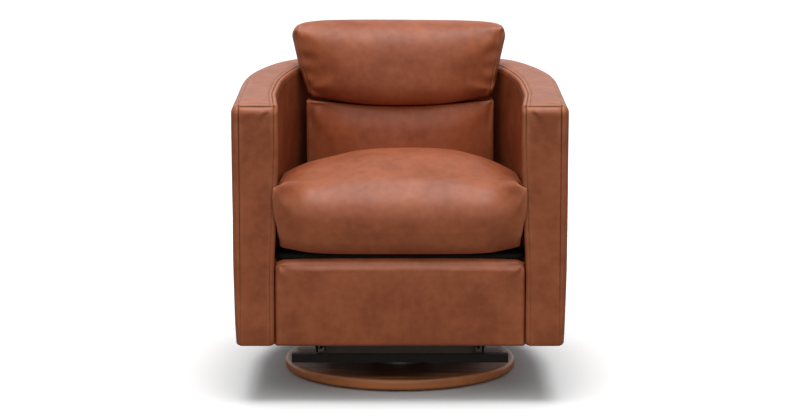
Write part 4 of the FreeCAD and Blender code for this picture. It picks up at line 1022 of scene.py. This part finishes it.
def turn_outward(piece):
    """Turn all faces to look outward."""
    mesh = bmesh.new()
    mesh.from_mesh(piece.data)
    bmesh.ops.recalc_face_normals(mesh, faces=mesh.faces)
    mesh.to_mesh(piece.data)
    mesh.free()


def listed(items, name, width, kind=float):
    """One property of a mesh's points or edges as an array."""
    flat = np.empty(len(items) * width, kind)
    items.foreach_get(name, flat)
    return flat.reshape(-1, width)


def put(piece, points):
    piece.data.vertices.foreach_set("co", np.asarray(points, np.float32).ravel())
    piece.data.update()


def evened(piece, moved, rounds=10):
    """Moves of a piece's points, each brought closer to those of its neighbours."""
    first, second = listed(piece.data.edges, "vertices", 2, np.int32).T
    count = np.bincount(np.concatenate([first, second]), minlength=len(moved))[:, None]
    for _ in range(rounds):
        total = np.zeros_like(moved)
        np.add.at(total, first, moved[second])
        np.add.at(total, second, moved[first])
        moved = 0.4 * moved + 0.6 * total / count
    return moved


def inflate(piece, held, seam, keep):
    """Swell a cover with cloth under pressure, gathered along its seams and held where it rests."""
    start = listed(piece.data.vertices, "co", 3)
    for name, weights in (("held", held), ("seam", seam)):
        group = piece.vertex_groups.new(name=name)
        for index in np.nonzero(weights > 0.01)[0]:
            group.add([int(index)], float(weights[index]), "REPLACE")
    values = cushions()
    cloth = piece.modifiers.new("cloth", "CLOTH")
    for name, value in CLOTH.items():
        setattr(cloth.settings, name, value)
    cloth.settings.uniform_pressure_force = values.pressure
    cloth.settings.shrink_max = values.gather
    cloth.settings.effector_weights.gravity = 0
    cloth.collision_settings.use_collision = False
    cloth.point_cache.frame_end = CLOTH_FRAMES + 4
    scene = bpy.context.scene
    for step in range(1, CLOTH_FRAMES + 1):
        scene.frame_set(step)
    swollen = piece.evaluated_get(bpy.context.evaluated_depsgraph_get())
    moved = listed(swollen.data.vertices, "co", 3) - start
    piece.modifiers.remove(cloth)
    scene.frame_set(1)
    size = np.linalg.norm(moved, axis=1, keepdims=True)
    moved *= np.minimum(1.0, values.cap / np.maximum(size, 1e-9))
    put(piece, start + evened(piece, moved) * np.array(keep))


def sew(piece, gaps):
    """Sink the seams of a cover."""
    normals = listed(piece.data.vertices, "normal", 3)
    sink = groove(gaps, 0.0030) * (gaps < 0.012)
    put(piece, listed(piece.data.vertices, "co", 3) - normals * sink[:, None])


def build_cover(name, node, half, section, shape, held, limits, cap_bulge, keep):
    """A loose cushion: sewn, filled, trimmed to the room it has."""
    points, faces, seam, gaps = cover_mesh(half, section, shape, cap_bulge)
    marks = {"wear_and_sheen": np.minimum(1.0, lip_wear_and_sheen(gaps)), "darkening": 0.8 * seam_darkened(gaps)}
    piece = mesh_piece(name, points, faces, shared_finish(satin_leather), marks)
    turn_outward(piece)
    inflate(piece, held(points), seam, keep)
    put(piece, limits(listed(piece.data.vertices, "co", 3)))
    sew(piece, gaps)
    return subdivided(settled(piece, node))


def pucker(points, centre, spread, size, waves, phase):
    """Small folds in a cushion's face that run out from a corner."""
    across, up = points[:, 0] - centre[0], points[:, 2] - centre[1]
    away = np.hypot(across, up)
    near = np.exp(-(away / spread) ** 2) * smooth_step(away, 0.0, 0.35 * spread)
    points[:, 1] += size * near * np.cos(waves * np.arctan2(up, across) + phase)


def build_seat_cushion():
    """Crowned seat cushion whose top panel falls over the front, with panels sewn in at its sides."""
    values = cushions()
    low = max(seat_box[0].z, deck_box[1].z + 0.0003)
    front, back = seat_box[0].y + 0.004, seat_box[1].y - 0.002
    edge = values.seat_edge - 0.003
    half = 0.2745
    ear_reach = 0.2915

    def section(side):
        draw, sharp = abs(side) ** 5, abs(side) ** 7
        radii = (0.026 + 0.004 * sharp, 0.096 - 0.089 * sharp, 0.045 - 0.020 * sharp, 0.035 - 0.01 * sharp)
        return cover_loop(front + 0.003 * draw, back - 0.010 * draw, low + 0.012 * draw, edge + 0.003 * sharp,
                          radii)

    def shape(points):
        x, y, z = points.T.copy()
        side = np.clip(np.abs(x) / half, 0, 1)
        t = np.clip((y - front) / (back - front), 0, 1)
        wave = np.sin(math.pi * t)
        rise = np.where(t < 0.5, wave ** 1.7, 0.30 + 0.70 * wave)
        arch = 1 - 0.4 * side ** 2 - 0.6 * side ** 6
        over = smooth_step(z, low + 0.06, edge)
        level = np.clip((z - low) / (edge - low), 0, 1)
        # Ears stand out before the arm fronts, and the cushion follows the walls behind them
        nose = 1 - smooth_step(y, -0.4085, -0.4015)
        ear = np.interp(level, [0, 0.25, 0.6, 0.85, 1.0], [-0.006, 0.002, 0.014, 0.016, 0.013])
        flare = 0.011 * smooth_step(y, -0.400, -0.250) - 0.012 * np.clip(y / back, 0, 1)
        points[:, 0] = x * (1 + (nose * ear + flare) / half)
        points[:, 2] = z + (values.seat_crown * arch * rise - values.seat_fall * t) * over
        points[:, 2] += 0.013 * (1 - smooth_step(y, -0.36, -0.24)) * smooth_step(level, 0.80, 1.0) * (
            smooth_step(side, 0.70, 0.93) * (1 - 0.8 * smooth_step(side, 0.965, 1.0)))
        near = np.exp(-((y - front) / 0.03) ** 2)
        points[:, 1] -= 0.004 * near * (1 - side ** 2)
        points[:, 1] += 0.022 * near * np.clip((0.465 - z) / 0.110, 0, 1.1) ** 1.5
        return points

    def held(points):
        return np.where((points[:, 2] < low + 0.004) | (points[:, 1] > back - 0.006), 1.0, 0.0)

    def limits(points):
        for sign in (-1, 1):
            pucker(points, (sign * 0.281, edge - 0.004), spread=0.055, size=0.0036, waves=5.0, phase=0.9)
        x, y, z = points.T
        points[:, 2] = np.maximum(z, low)
        wall = tub().half_width - wall_at(y) - wall_swell(y, z) - 0.0015
        room = np.where(y > -0.4005, wall, ear_reach)
        points[:, 0] = np.clip(x, -room, room)
        points[:, 1] = np.clip(y, seat_box[0].y - 0.004, seat_box[1].y + 0.003)
        return points

    return build_cover("seat_cushion_leather", "seat_cushion", half, section, shape, held, limits,
                       cap_bulge=0.003, keep=(0.1, 0.35, 0.35))


def build_pillow():
    """Back pillow that stands above the rim, fuller in the middle and drawn in at its ends."""
    low, high = pillow_box[0].z + 0.0005, pillow_box[1].z
    front, back = pillow_box[0].y, pillow_box[1].y
    half = 0.246

    def section(side):
        draw, tip = abs(side) ** 3.2, abs(side) ** 6
        radii = (0.046 - 0.020 * tip, 0.086 - 0.072 * tip, 0.070 - 0.056 * tip, 0.060 - 0.030 * tip)
        return cover_loop(front + 0.006 + 0.050 * draw, back - 0.004 - 0.052 * draw, low + 0.012 * draw,
                          high - 0.004 - 0.006 * abs(side) ** 4, radii)

    def shape(points):
        level = np.clip((points[:, 2] - low) / (high - low), 0, 1)
        points[:, 0] *= np.interp(level, [0, 0.35, 0.8, 0.93, 1.0], [0.905, 0.955, 1.032, 1.030, 1.0])
        points[:, 0] -= 0.007 * smooth_step(-points[:, 0], 0.15, 0.24) * smooth_step(level, 0.15, 0.45) * (
            1 - smooth_step(level, 0.85, 1.0))
        points[:, 1] += 0.030 * (level - 0.35) * (1 - 0.3 * np.abs(points[:, 0]) / half)
        near = 1 - smooth_step(points[:, 1], front + 0.03, front + 0.06)
        points[:, 2] -= 0.007 * near * (1 - smooth_step(level, 0.0, 0.3)) * (1 - (points[:, 0] / half) ** 2)
        return points

    def held(points):
        return np.where((points[:, 2] < low + 0.003) & (np.abs(points[:, 0]) < 0.19), 1.0, 0.0)

    def limits(points):
        for sign in (-1, 1):
            pucker(points, (sign * 0.240, high - 0.026), spread=0.050, size=0.0026, waves=5.0,
                   phase=0.4 + sign)
            pucker(points, (sign * 0.225, low + 0.035), spread=0.062, size=0.0046, waves=5.0,
                   phase=1.2 - sign)
        x, y, z = points.T
        near = np.exp(-((np.abs(x) - 0.232) / 0.020) ** 2) * smooth_step(y, back, front + 0.05)
        points[:, 1] += 0.0034 * near * np.sin(z * 165.0 + 2.0 * np.sign(x))
        floor = low - 0.0065 * (1 - smooth_step(y, front + 0.055, front + 0.070))
        points[:, 2] = np.clip(z, floor, high + 0.004)
        points[:, 1] = np.clip(y, front - 0.010, back + 0.02)
        return points

    return build_cover("back_pillow_leather", "back_pillow", half, section, shape, held, limits,
                       cap_bulge=0.010, keep=(0.15, 0.35, 0.30))


def build_lumbar():
    """Lower back cushion, seen between the seat and the pillow."""
    low, high = lumbar_box[0].z, lumbar_box[1].z
    front, back = lumbar_box[0].y, lumbar_box[1].y
    half = 0.233
    reach = 0.240
    corner_rise = 0.012

    def face(side):
        return front + 0.002 + 0.046 * side ** 3.4

    def section(side):
        side = abs(side)
        tip = side ** 6
        radii = (0.040, 0.012 - 0.004 * tip, 0.060 - 0.03 * tip, 0.05)
        return cover_loop(face(side), back - 0.004 - 0.085 * side ** 4, low + 0.004,
                          high + corner_rise * side ** 2.6, radii)

    def shape(points):
        level = np.clip((points[:, 2] - low) / (high - low), 0, 1)
        side = np.clip(np.abs(points[:, 0]) / half, 0, 1)
        dip = smooth_step(points[:, 2], high - 0.03, high - 0.005)
        near = 1 - smooth_step(points[:, 1], front + 0.05, front + 0.09)
        points[:, 1] += 0.016 * smooth_step(level, 0.80, 1.0) * near * (1 - side ** 2)
        points[:, 2] -= 0.002 * dip * (1 - side ** 2)
        return points

    def held(points):
        return np.where((points[:, 2] < low + 0.006) | (points[:, 1] > back - 0.03), 1.0, 0.0)

    def limits(points):
        for sign in (-1, 1):
            pucker(points, (sign * 0.226, high - 0.012), spread=0.075, size=0.0058, waves=4.0,
                   phase=0.5 + 0.8 * sign)
            pucker(points, (sign * 0.222, high - 0.006), spread=0.045, size=0.0026, waves=9.0,
                   phase=0.2 + 0.5 * sign)
        points[:] = np.clip(points, (-reach, front - 0.002, low), (reach, back, high + corner_rise))
        # The pillow rests on its top, behind its drawn-back front
        side = np.abs(points[:, 0])
        behind = points[:, 1] - face(np.clip(side / half, 0, 1))
        under = smooth_step(behind, 0.016, 0.034) * (1 - smooth_step(side, 0.214, 0.226))
        rest = high + corner_rise - 0.0195 * under * (1 - 0.40 * smooth_step(side, 0.08, 0.225))
        points[:, 2] = np.minimum(points[:, 2], rest)
        return points

    return build_cover("lumbar_cushion_leather", "lumbar_cushion", half, section, shape, held, limits,
                       cap_bulge=0.003, keep=(0.15, 0.4, 0.3))


# Cloths
def build_deck():
    """Black deck over the springs, padded to the outline of its solid."""
    low, top = deck_box[0].z, deck_box[1].z
    corners = np.array([tuple(vertex.co) for vertex in frame["nodes"]["seat_deck"].data.vertices])
    outline = corners[np.abs(corners[:, 2] - top) < 1e-5][:, :2]
    outline = outline[np.argsort(np.arctan2(outline[:, 1], outline[:, 0]))]
    steps = np.linspace(0, 1, 24, endpoint=False)[:, None]
    outline = np.concatenate([start + (stop - start) * steps
                              for start, stop in zip(outline, np.roll(outline, -1, axis=0))])
    angles = np.linspace(-math.pi, math.pi, 192, endpoint=False)
    edge = np.interp(angles, np.arctan2(outline[:, 1], outline[:, 0]), np.hypot(outline[:, 0], outline[:, 1]),
                     period=2 * math.pi)
    levels = ((0.30, low), (0.97, low), (0.995, low + 0.003), (0.998, (low + top) / 2), (0.995, top - 0.003),
              (0.975, top - 0.0005), (0.90, top), (0.75, top), (0.55, top), (0.30, top - 0.0005),
              (0.08, top - 0.001))
    count = len(angles)
    points = [(scale * far * math.cos(angle), scale * far * math.sin(angle), height)
              for scale, height in levels for angle, far in zip(angles, edge)]
    faces = grid_faces(len(levels), count, closed=True)
    faces.append(tuple(range(count))[::-1])
    faces.append(tuple(range((len(levels) - 1) * count, len(levels) * count)))
    deck = mesh_piece("seat_deck_cloth", points, faces, shared_finish(black_weave))
    settled(deck, "seat_deck")


def build_dust_cover():
    """Thin cloth stretched under the seat, which sags a little between the rails."""
    low, high = dust_box
    columns, rows = 49, 57
    points = []
    for y in np.linspace(low.y, high.y, rows):
        for x in np.linspace(low.x, high.x, columns):
            across = 1 - (2 * (x - low.x) / (high.x - low.x) - 1) ** 2
            deep = 1 - (2 * (y - low.y) / (high.y - low.y) - 1) ** 2
            clear = smooth_step(0.19 - abs(x), 0.0, 0.05)
            points.append((x, y, high.z - 0.0006 - 0.0010 * float(clear) * across * deep))
    points = np.array(points)
    points[:, 2] = np.minimum(points[:, 2] + 0.0004 * wander(points, 20.0, 31), high.z - 0.0004)
    sheet = mesh_piece("dust_cover_cloth", points, grid_faces(rows, columns), shared_finish(black_weave))
    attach(sheet, "chair")
    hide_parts("dust_cover")


# Stitching
def on_path(spot, along, table):
    """Value of a table of places or directions at a distance along its path."""
    return np.array([np.interp(spot, along, table[:, axis]) for axis in range(3)])


def stitch_mesh(rows, long=0.0052, gap=0.0024, radius=0.00055):
    """Points and faces of short threads laid along rows of places with their outward directions."""
    sides = 6
    stages = ((0.0, 0.45, -0.0006), (0.22, 1.0, 0.0001), (0.78, 1.0, 0.0001), (1.0, 0.45, -0.0006))
    points, faces = [], []
    for path, lifts in rows:
        path, lifts = np.asarray(path, float), np.asarray(lifts, float)
        spans = np.linalg.norm(np.diff(path, axis=0), axis=1)
        along = np.concatenate([[0.0], np.cumsum(spans)])
        count = int(along[-1] // (long + gap))
        for index in range(count):
            start = (index + 0.5) * along[-1] / count - long / 2
            first = len(points)
            for share_along, size, rise in stages:
                spot = start + share_along * long
                lift = on_path(spot, along, lifts)
                centre = on_path(spot, along, path) + lift * rise
                run = on_path(spot + 0.001, along, path) - on_path(spot - 0.001, along, path)
                side = np.cross(run / max(np.linalg.norm(run), 1e-9), lift)
                side /= max(np.linalg.norm(side), 1e-9)
                for turn in np.linspace(0, 2 * math.pi, sides, endpoint=False):
                    around = side * math.cos(turn) * 1.2 + lift * math.sin(turn)
                    points.append(centre + size * radius * around)
            ends = [tuple(range(sides))[::-1], tuple(range(3 * sides, 4 * sides))]
            for face in grid_faces(len(stages), sides, closed=True) + ends:
                faces.append(tuple(first + corner for corner in face))
    return points, faces


def lay_thread(name, rows):
    piece = mesh_piece(name, *stitch_mesh(rows), shared_finish(thread))
    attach(piece, "chair")


def build_stitching():
    """Thread along the rim's inner seam and the upright seams of the outside back."""
    sizes = tub()
    line = inner_line()
    band, fold, facing = [], [], []
    for along in np.arange(0.026, 2 * line.half - 0.026, 0.006):
        (x, y), (nx, ny) = line.at(along)
        rim = float(rim_at(y))
        swell = float(wall_swell(y - sizes.wall * ny, rim))
        deep = sizes.inner_seam + BAND_STITCH - swell
        out = 0.0003 + swell
        band.append((x - nx * deep, y - ny * deep, rim + 0.0006))
        fold.append((x + nx * out, y + ny * out, rim - 0.0125))
        facing.append((nx, ny, 0.0))
    lay_thread("rim_stitching", [(band, [(0.0, 0.0, 1.0)] * len(band)), (fold, facing)])

    line = outer_line()
    rows = []
    for seam in back_seams(2 * line.half):
        for side in (-0.0055, 0.0055):
            (x, y), (nx, ny) = line.at(seam + side)
            rim = float(rim_at(y))
            path = [(x - nx * (inset - 0.0003), y - ny * (inset - 0.0003), height)
                    for inset, height, _ in outside_rows(rim, sizes.outer_round, 0.0)
                    if sizes.bottom + 0.03 < height < rim - 0.02]
            rows.append((path, [(nx, ny, 0.0)] * len(path)))
    lay_thread("back_seam_stitching", rows)


def build_hard_parts():
    """Finishes of the base, the bearing, the glide mechanism and the hidden frame."""
    looks = finishes()
    kinds = {
        # The base lacquer has painted shade on its top and a painted highlight along its upper edge.
        "base_wood": wood_finish("base_lacquer", looks.base_wood, scale=26.0, rough=0.40, coat=0.12,
                                 dark_share=0.72, painted_top_shade=0.85, painted_highlight=0.35),
        "frame_wood": wood_finish("frame_timber", looks.frame_wood, scale=18.0, rough=0.6, coat=0.0,
                                  dark_share=0.7),
    }
    for slot, name, shade, metallic, rough, scale, scuffed in (
        ("black_steel", "black_paint", looks.black_steel, 0.0, 0.42, 700.0, (0.040, 0.031, 0.026)),
        ("grey_steel", "grey_paint", looks.grey_steel, 0.0, 0.45, 700.0, (0.13, 0.10, 0.082)),
        ("zinc_steel", "zinc_plate", looks.zinc, 1.0, 0.32, 260.0, (0.38, 0.37, 0.34)),
        ("nylon", "bush_nylon", looks.nylon, 0.0, 0.48, 300.0, (0.50, 0.47, 0.40)),
        ("glide_plastic", "glide_moulding", BLACK_PLASTIC, 0.0, 0.5, 300.0, (0.05, 0.05, 0.05)),
        ("bumper_rubber", "bumper_moulding", BLACK_RUBBER, 0.0, 0.75, 300.0, (0.03, 0.03, 0.03)),
    ):
        kinds[slot] = metal_finish(name, shade, metallic, rough, scale, scuffed)
    for row in frame["record"]["subparts"]:
        finish = kinds.get(row["material_slot"])
        if finish is None:
            continue
        solid = frame["nodes"][row["node"]]
        solid.data.materials.clear()
        solid.data.materials.append(finish)


# Floor, light and camera
def cleared(owner):
    """Empty node tree of a material or world, with its light path and what a camera sees through it."""
    owner.use_nodes = True
    tree = owner.node_tree
    tree.nodes.clear()
    path = tree.nodes.new("ShaderNodeLightPath").outputs
    return tree, path, math_node(tree, "MAXIMUM", path["Is Camera Ray"], path["Is Transmission Ray"])


def build_floor():
    """Wide pale disc that is white to the camera and keeps the shadow."""
    rings, sides = (0.6, 1.2, 2.5, 6.0, 14.0, 30.0), 64
    turns = np.linspace(0, 2 * math.pi, sides, endpoint=False)
    points = [(0.0, 0.0, 0.0)]
    points += [(far * math.cos(turn), far * math.sin(turn), 0.0) for far in rings for turn in turns]
    faces = [(0, 1 + index, 1 + (index + 1) % sides) for index in range(sides)]
    for face in grid_faces(len(rings), sides, closed=True):
        faces.append(tuple(1 + corner for corner in face[::-1]))
    made = bpy.data.materials.new("studio_floor")
    tree, _, seen = cleared(made)
    plain = wire(tree, "ShaderNodeBsdfDiffuse", {"Color": mixed(tree, seen, FLOOR_BOUNCE, FLOOR_SEEN)})
    wire(tree, "ShaderNodeOutputMaterial", {"Surface": plain.outputs[0]})
    mesh_piece("studio_floor", points, faces, made)


def build_light():
    """Even light all round, white to the camera, and two soft suns."""
    scene = bpy.context.scene
    scene.world = bpy.data.worlds.new("studio")
    tree, path, seen = cleared(scene.world)
    around = tree.nodes.new("ShaderNodeTexCoord").outputs["Generated"]
    heading = wire(tree, "ShaderNodeSeparateXYZ", {0: around}).outputs["Y"]
    mirrored = ranged(tree, heading, -0.2, 0.7, 0.05, 0.85)
    lit = wire(tree, "ShaderNodeMix", {"Factor": path["Is Glossy Ray"], "A": 0.30, "B": mirrored})
    strength = math_node(tree, "MAXIMUM", seen, lit.outputs["Result"])
    sky = wire(tree, "ShaderNodeBackground", {"Color": (1, 1, 1, 1), "Strength": strength})
    wire(tree, "ShaderNodeOutputWorld", {"Surface": sky.outputs[0]})
    for name, energy, width, tilt, glint in (("overhead", 2.55, 42, 5, 0.5), ("front", 0.92, 60, 51, 0.25)):
        lamp = bpy.data.lights.new(name, "SUN")
        lamp.energy = energy
        lamp.angle = math.radians(width)
        lamp.specular_factor = glint
        item = bpy.data.objects.new(name, lamp)
        item.rotation_euler = (math.radians(tilt), 0.0, 0.0)
        scene.collection.objects.link(item)


def build_camera():
    """Camera at the photograph's viewing angle."""
    scene = bpy.context.scene
    scene.view_settings.view_transform = "Standard"
    lens = bpy.data.cameras.new("photo_view")
    lens.lens = 106.9
    lens.sensor_width = 36.0
    eye = bpy.data.objects.new("photo_view", lens)
    eye.location = (0.0, -5.7, 1.2814)
    eye.rotation_euler = (math.radians(81.113), 0.0, 0.0)
    scene.collection.objects.link(eye)
    scene.camera = eye


class CHAIR_OT_hard_parts(bpy.types.Operator):
    """Finish the base, the bearing, the mechanism and the frame"""

    bl_idname = "chair.hard_parts"
    bl_label = "Base and mechanism"

    def execute(self, context):
        build_hard_parts()
        return {"FINISHED"}


class CHAIR_OT_outside_cover(bpy.types.Operator):
    """Cover the outside of the tub"""

    bl_idname = "chair.outside_cover"
    bl_label = "Outside cover"

    def execute(self, context):
        build_outside_cover()
        return {"FINISHED"}


class CHAIR_OT_inside_pad(bpy.types.Operator):
    """Cover the inside of the arms and back"""

    bl_idname = "chair.inside_pad"
    bl_label = "Inside pad"

    def execute(self, context):
        build_inside_pad()
        return {"FINISHED"}


class CHAIR_OT_rim_band(bpy.types.Operator):
    """Cover the top of the arms and back"""

    bl_idname = "chair.rim_band"
    bl_label = "Rim band"

    def execute(self, context):
        build_rim_band()
        return {"FINISHED"}


class CHAIR_OT_arm_fronts(bpy.types.Operator):
    """Cover the fronts of both arms"""

    bl_idname = "chair.arm_fronts"
    bl_label = "Arm fronts"

    def execute(self, context):
        for side, sign in (("left", -1), ("right", 1)):
            build_arm_front(side, sign)
        return {"FINISHED"}


class CHAIR_OT_front_rail(bpy.types.Operator):
    """Cover the rail under the seat"""

    bl_idname = "chair.front_rail"
    bl_label = "Front rail"

    def execute(self, context):
        build_front_rail()
        return {"FINISHED"}


class CHAIR_OT_loose_cushions(bpy.types.Operator):
    """Make the seat cushion, the lower back cushion and the pillow"""

    bl_idname = "chair.loose_cushions"
    bl_label = "Loose cushions"

    def execute(self, context):
        build_seat_cushion()
        build_lumbar()
        build_pillow()
        return {"FINISHED"}


class CHAIR_OT_cloths(bpy.types.Operator):
    """Make the deck and the dust cover"""

    bl_idname = "chair.cloths"
    bl_label = "Deck and dust cover"

    def execute(self, context):
        build_deck()
        build_dust_cover()
        return {"FINISHED"}


class CHAIR_OT_stitching(bpy.types.Operator):
    """Lay the thread along the seams"""

    bl_idname = "chair.stitching"
    bl_label = "Stitching"

    def execute(self, context):
        build_stitching()
        return {"FINISHED"}


class CHAIR_OT_stage(bpy.types.Operator):
    """Add the floor, the light and the camera"""

    bl_idname = "chair.stage"
    bl_label = "Stage"

    def execute(self, context):
        build_floor()
        build_light()
        build_camera()
        return {"FINISHED"}


STEPS = (
    CHAIR_OT_hard_parts,
    CHAIR_OT_outside_cover,
    CHAIR_OT_inside_pad,
    CHAIR_OT_rim_band,
    CHAIR_OT_arm_fronts,
    CHAIR_OT_front_rail,
    CHAIR_OT_loose_cushions,
    CHAIR_OT_cloths,
    CHAIR_OT_stitching,
    CHAIR_OT_stage,
)


class CHAIR_PT_panel(bpy.types.Panel):
    """Lists the chair's pieces, sizes and finishes"""

    bl_idname = "CHAIR_PT_panel"
    bl_label = "Swivel glider chair"
    bl_space_type = "VIEW_3D"
    bl_region_type = "UI"
    bl_category = "Chair"

    def draw(self, context):
        for group in (tub(), cushions(), finishes()):
            column = self.layout.column()
            for name in group.__annotations__:
                column.prop(group, name)
        for step in STEPS:
            self.layout.operator(step.bl_idname)


GROUPS = (("chair_tub", TubSizes), ("chair_cushions", CushionSizes), ("chair_finishes", Finishes))


def register():
    for name, group in GROUPS:
        bpy.utils.register_class(group)
        setattr(bpy.types.Scene, name, bpy.props.PointerProperty(type=group))
    for step in (*STEPS, CHAIR_PT_panel):
        bpy.utils.register_class(step)


def unregister():
    for step in reversed((*STEPS, CHAIR_PT_panel)):
        bpy.utils.unregister_class(step)
    for name, group in reversed(GROUPS):
        delattr(bpy.types.Scene, name)
        bpy.utils.unregister_class(group)


def main():
    register()
    bpy.ops.chair.hard_parts()
    bpy.ops.chair.outside_cover()
    bpy.ops.chair.inside_pad()
    bpy.ops.chair.rim_band()
    bpy.ops.chair.arm_fronts()
    bpy.ops.chair.front_rail()
    bpy.ops.chair.loose_cushions()
    bpy.ops.chair.cloths()
    bpy.ops.chair.stitching()
    bpy.ops.chair.stage()


if __name__ == "__main__":
    main()
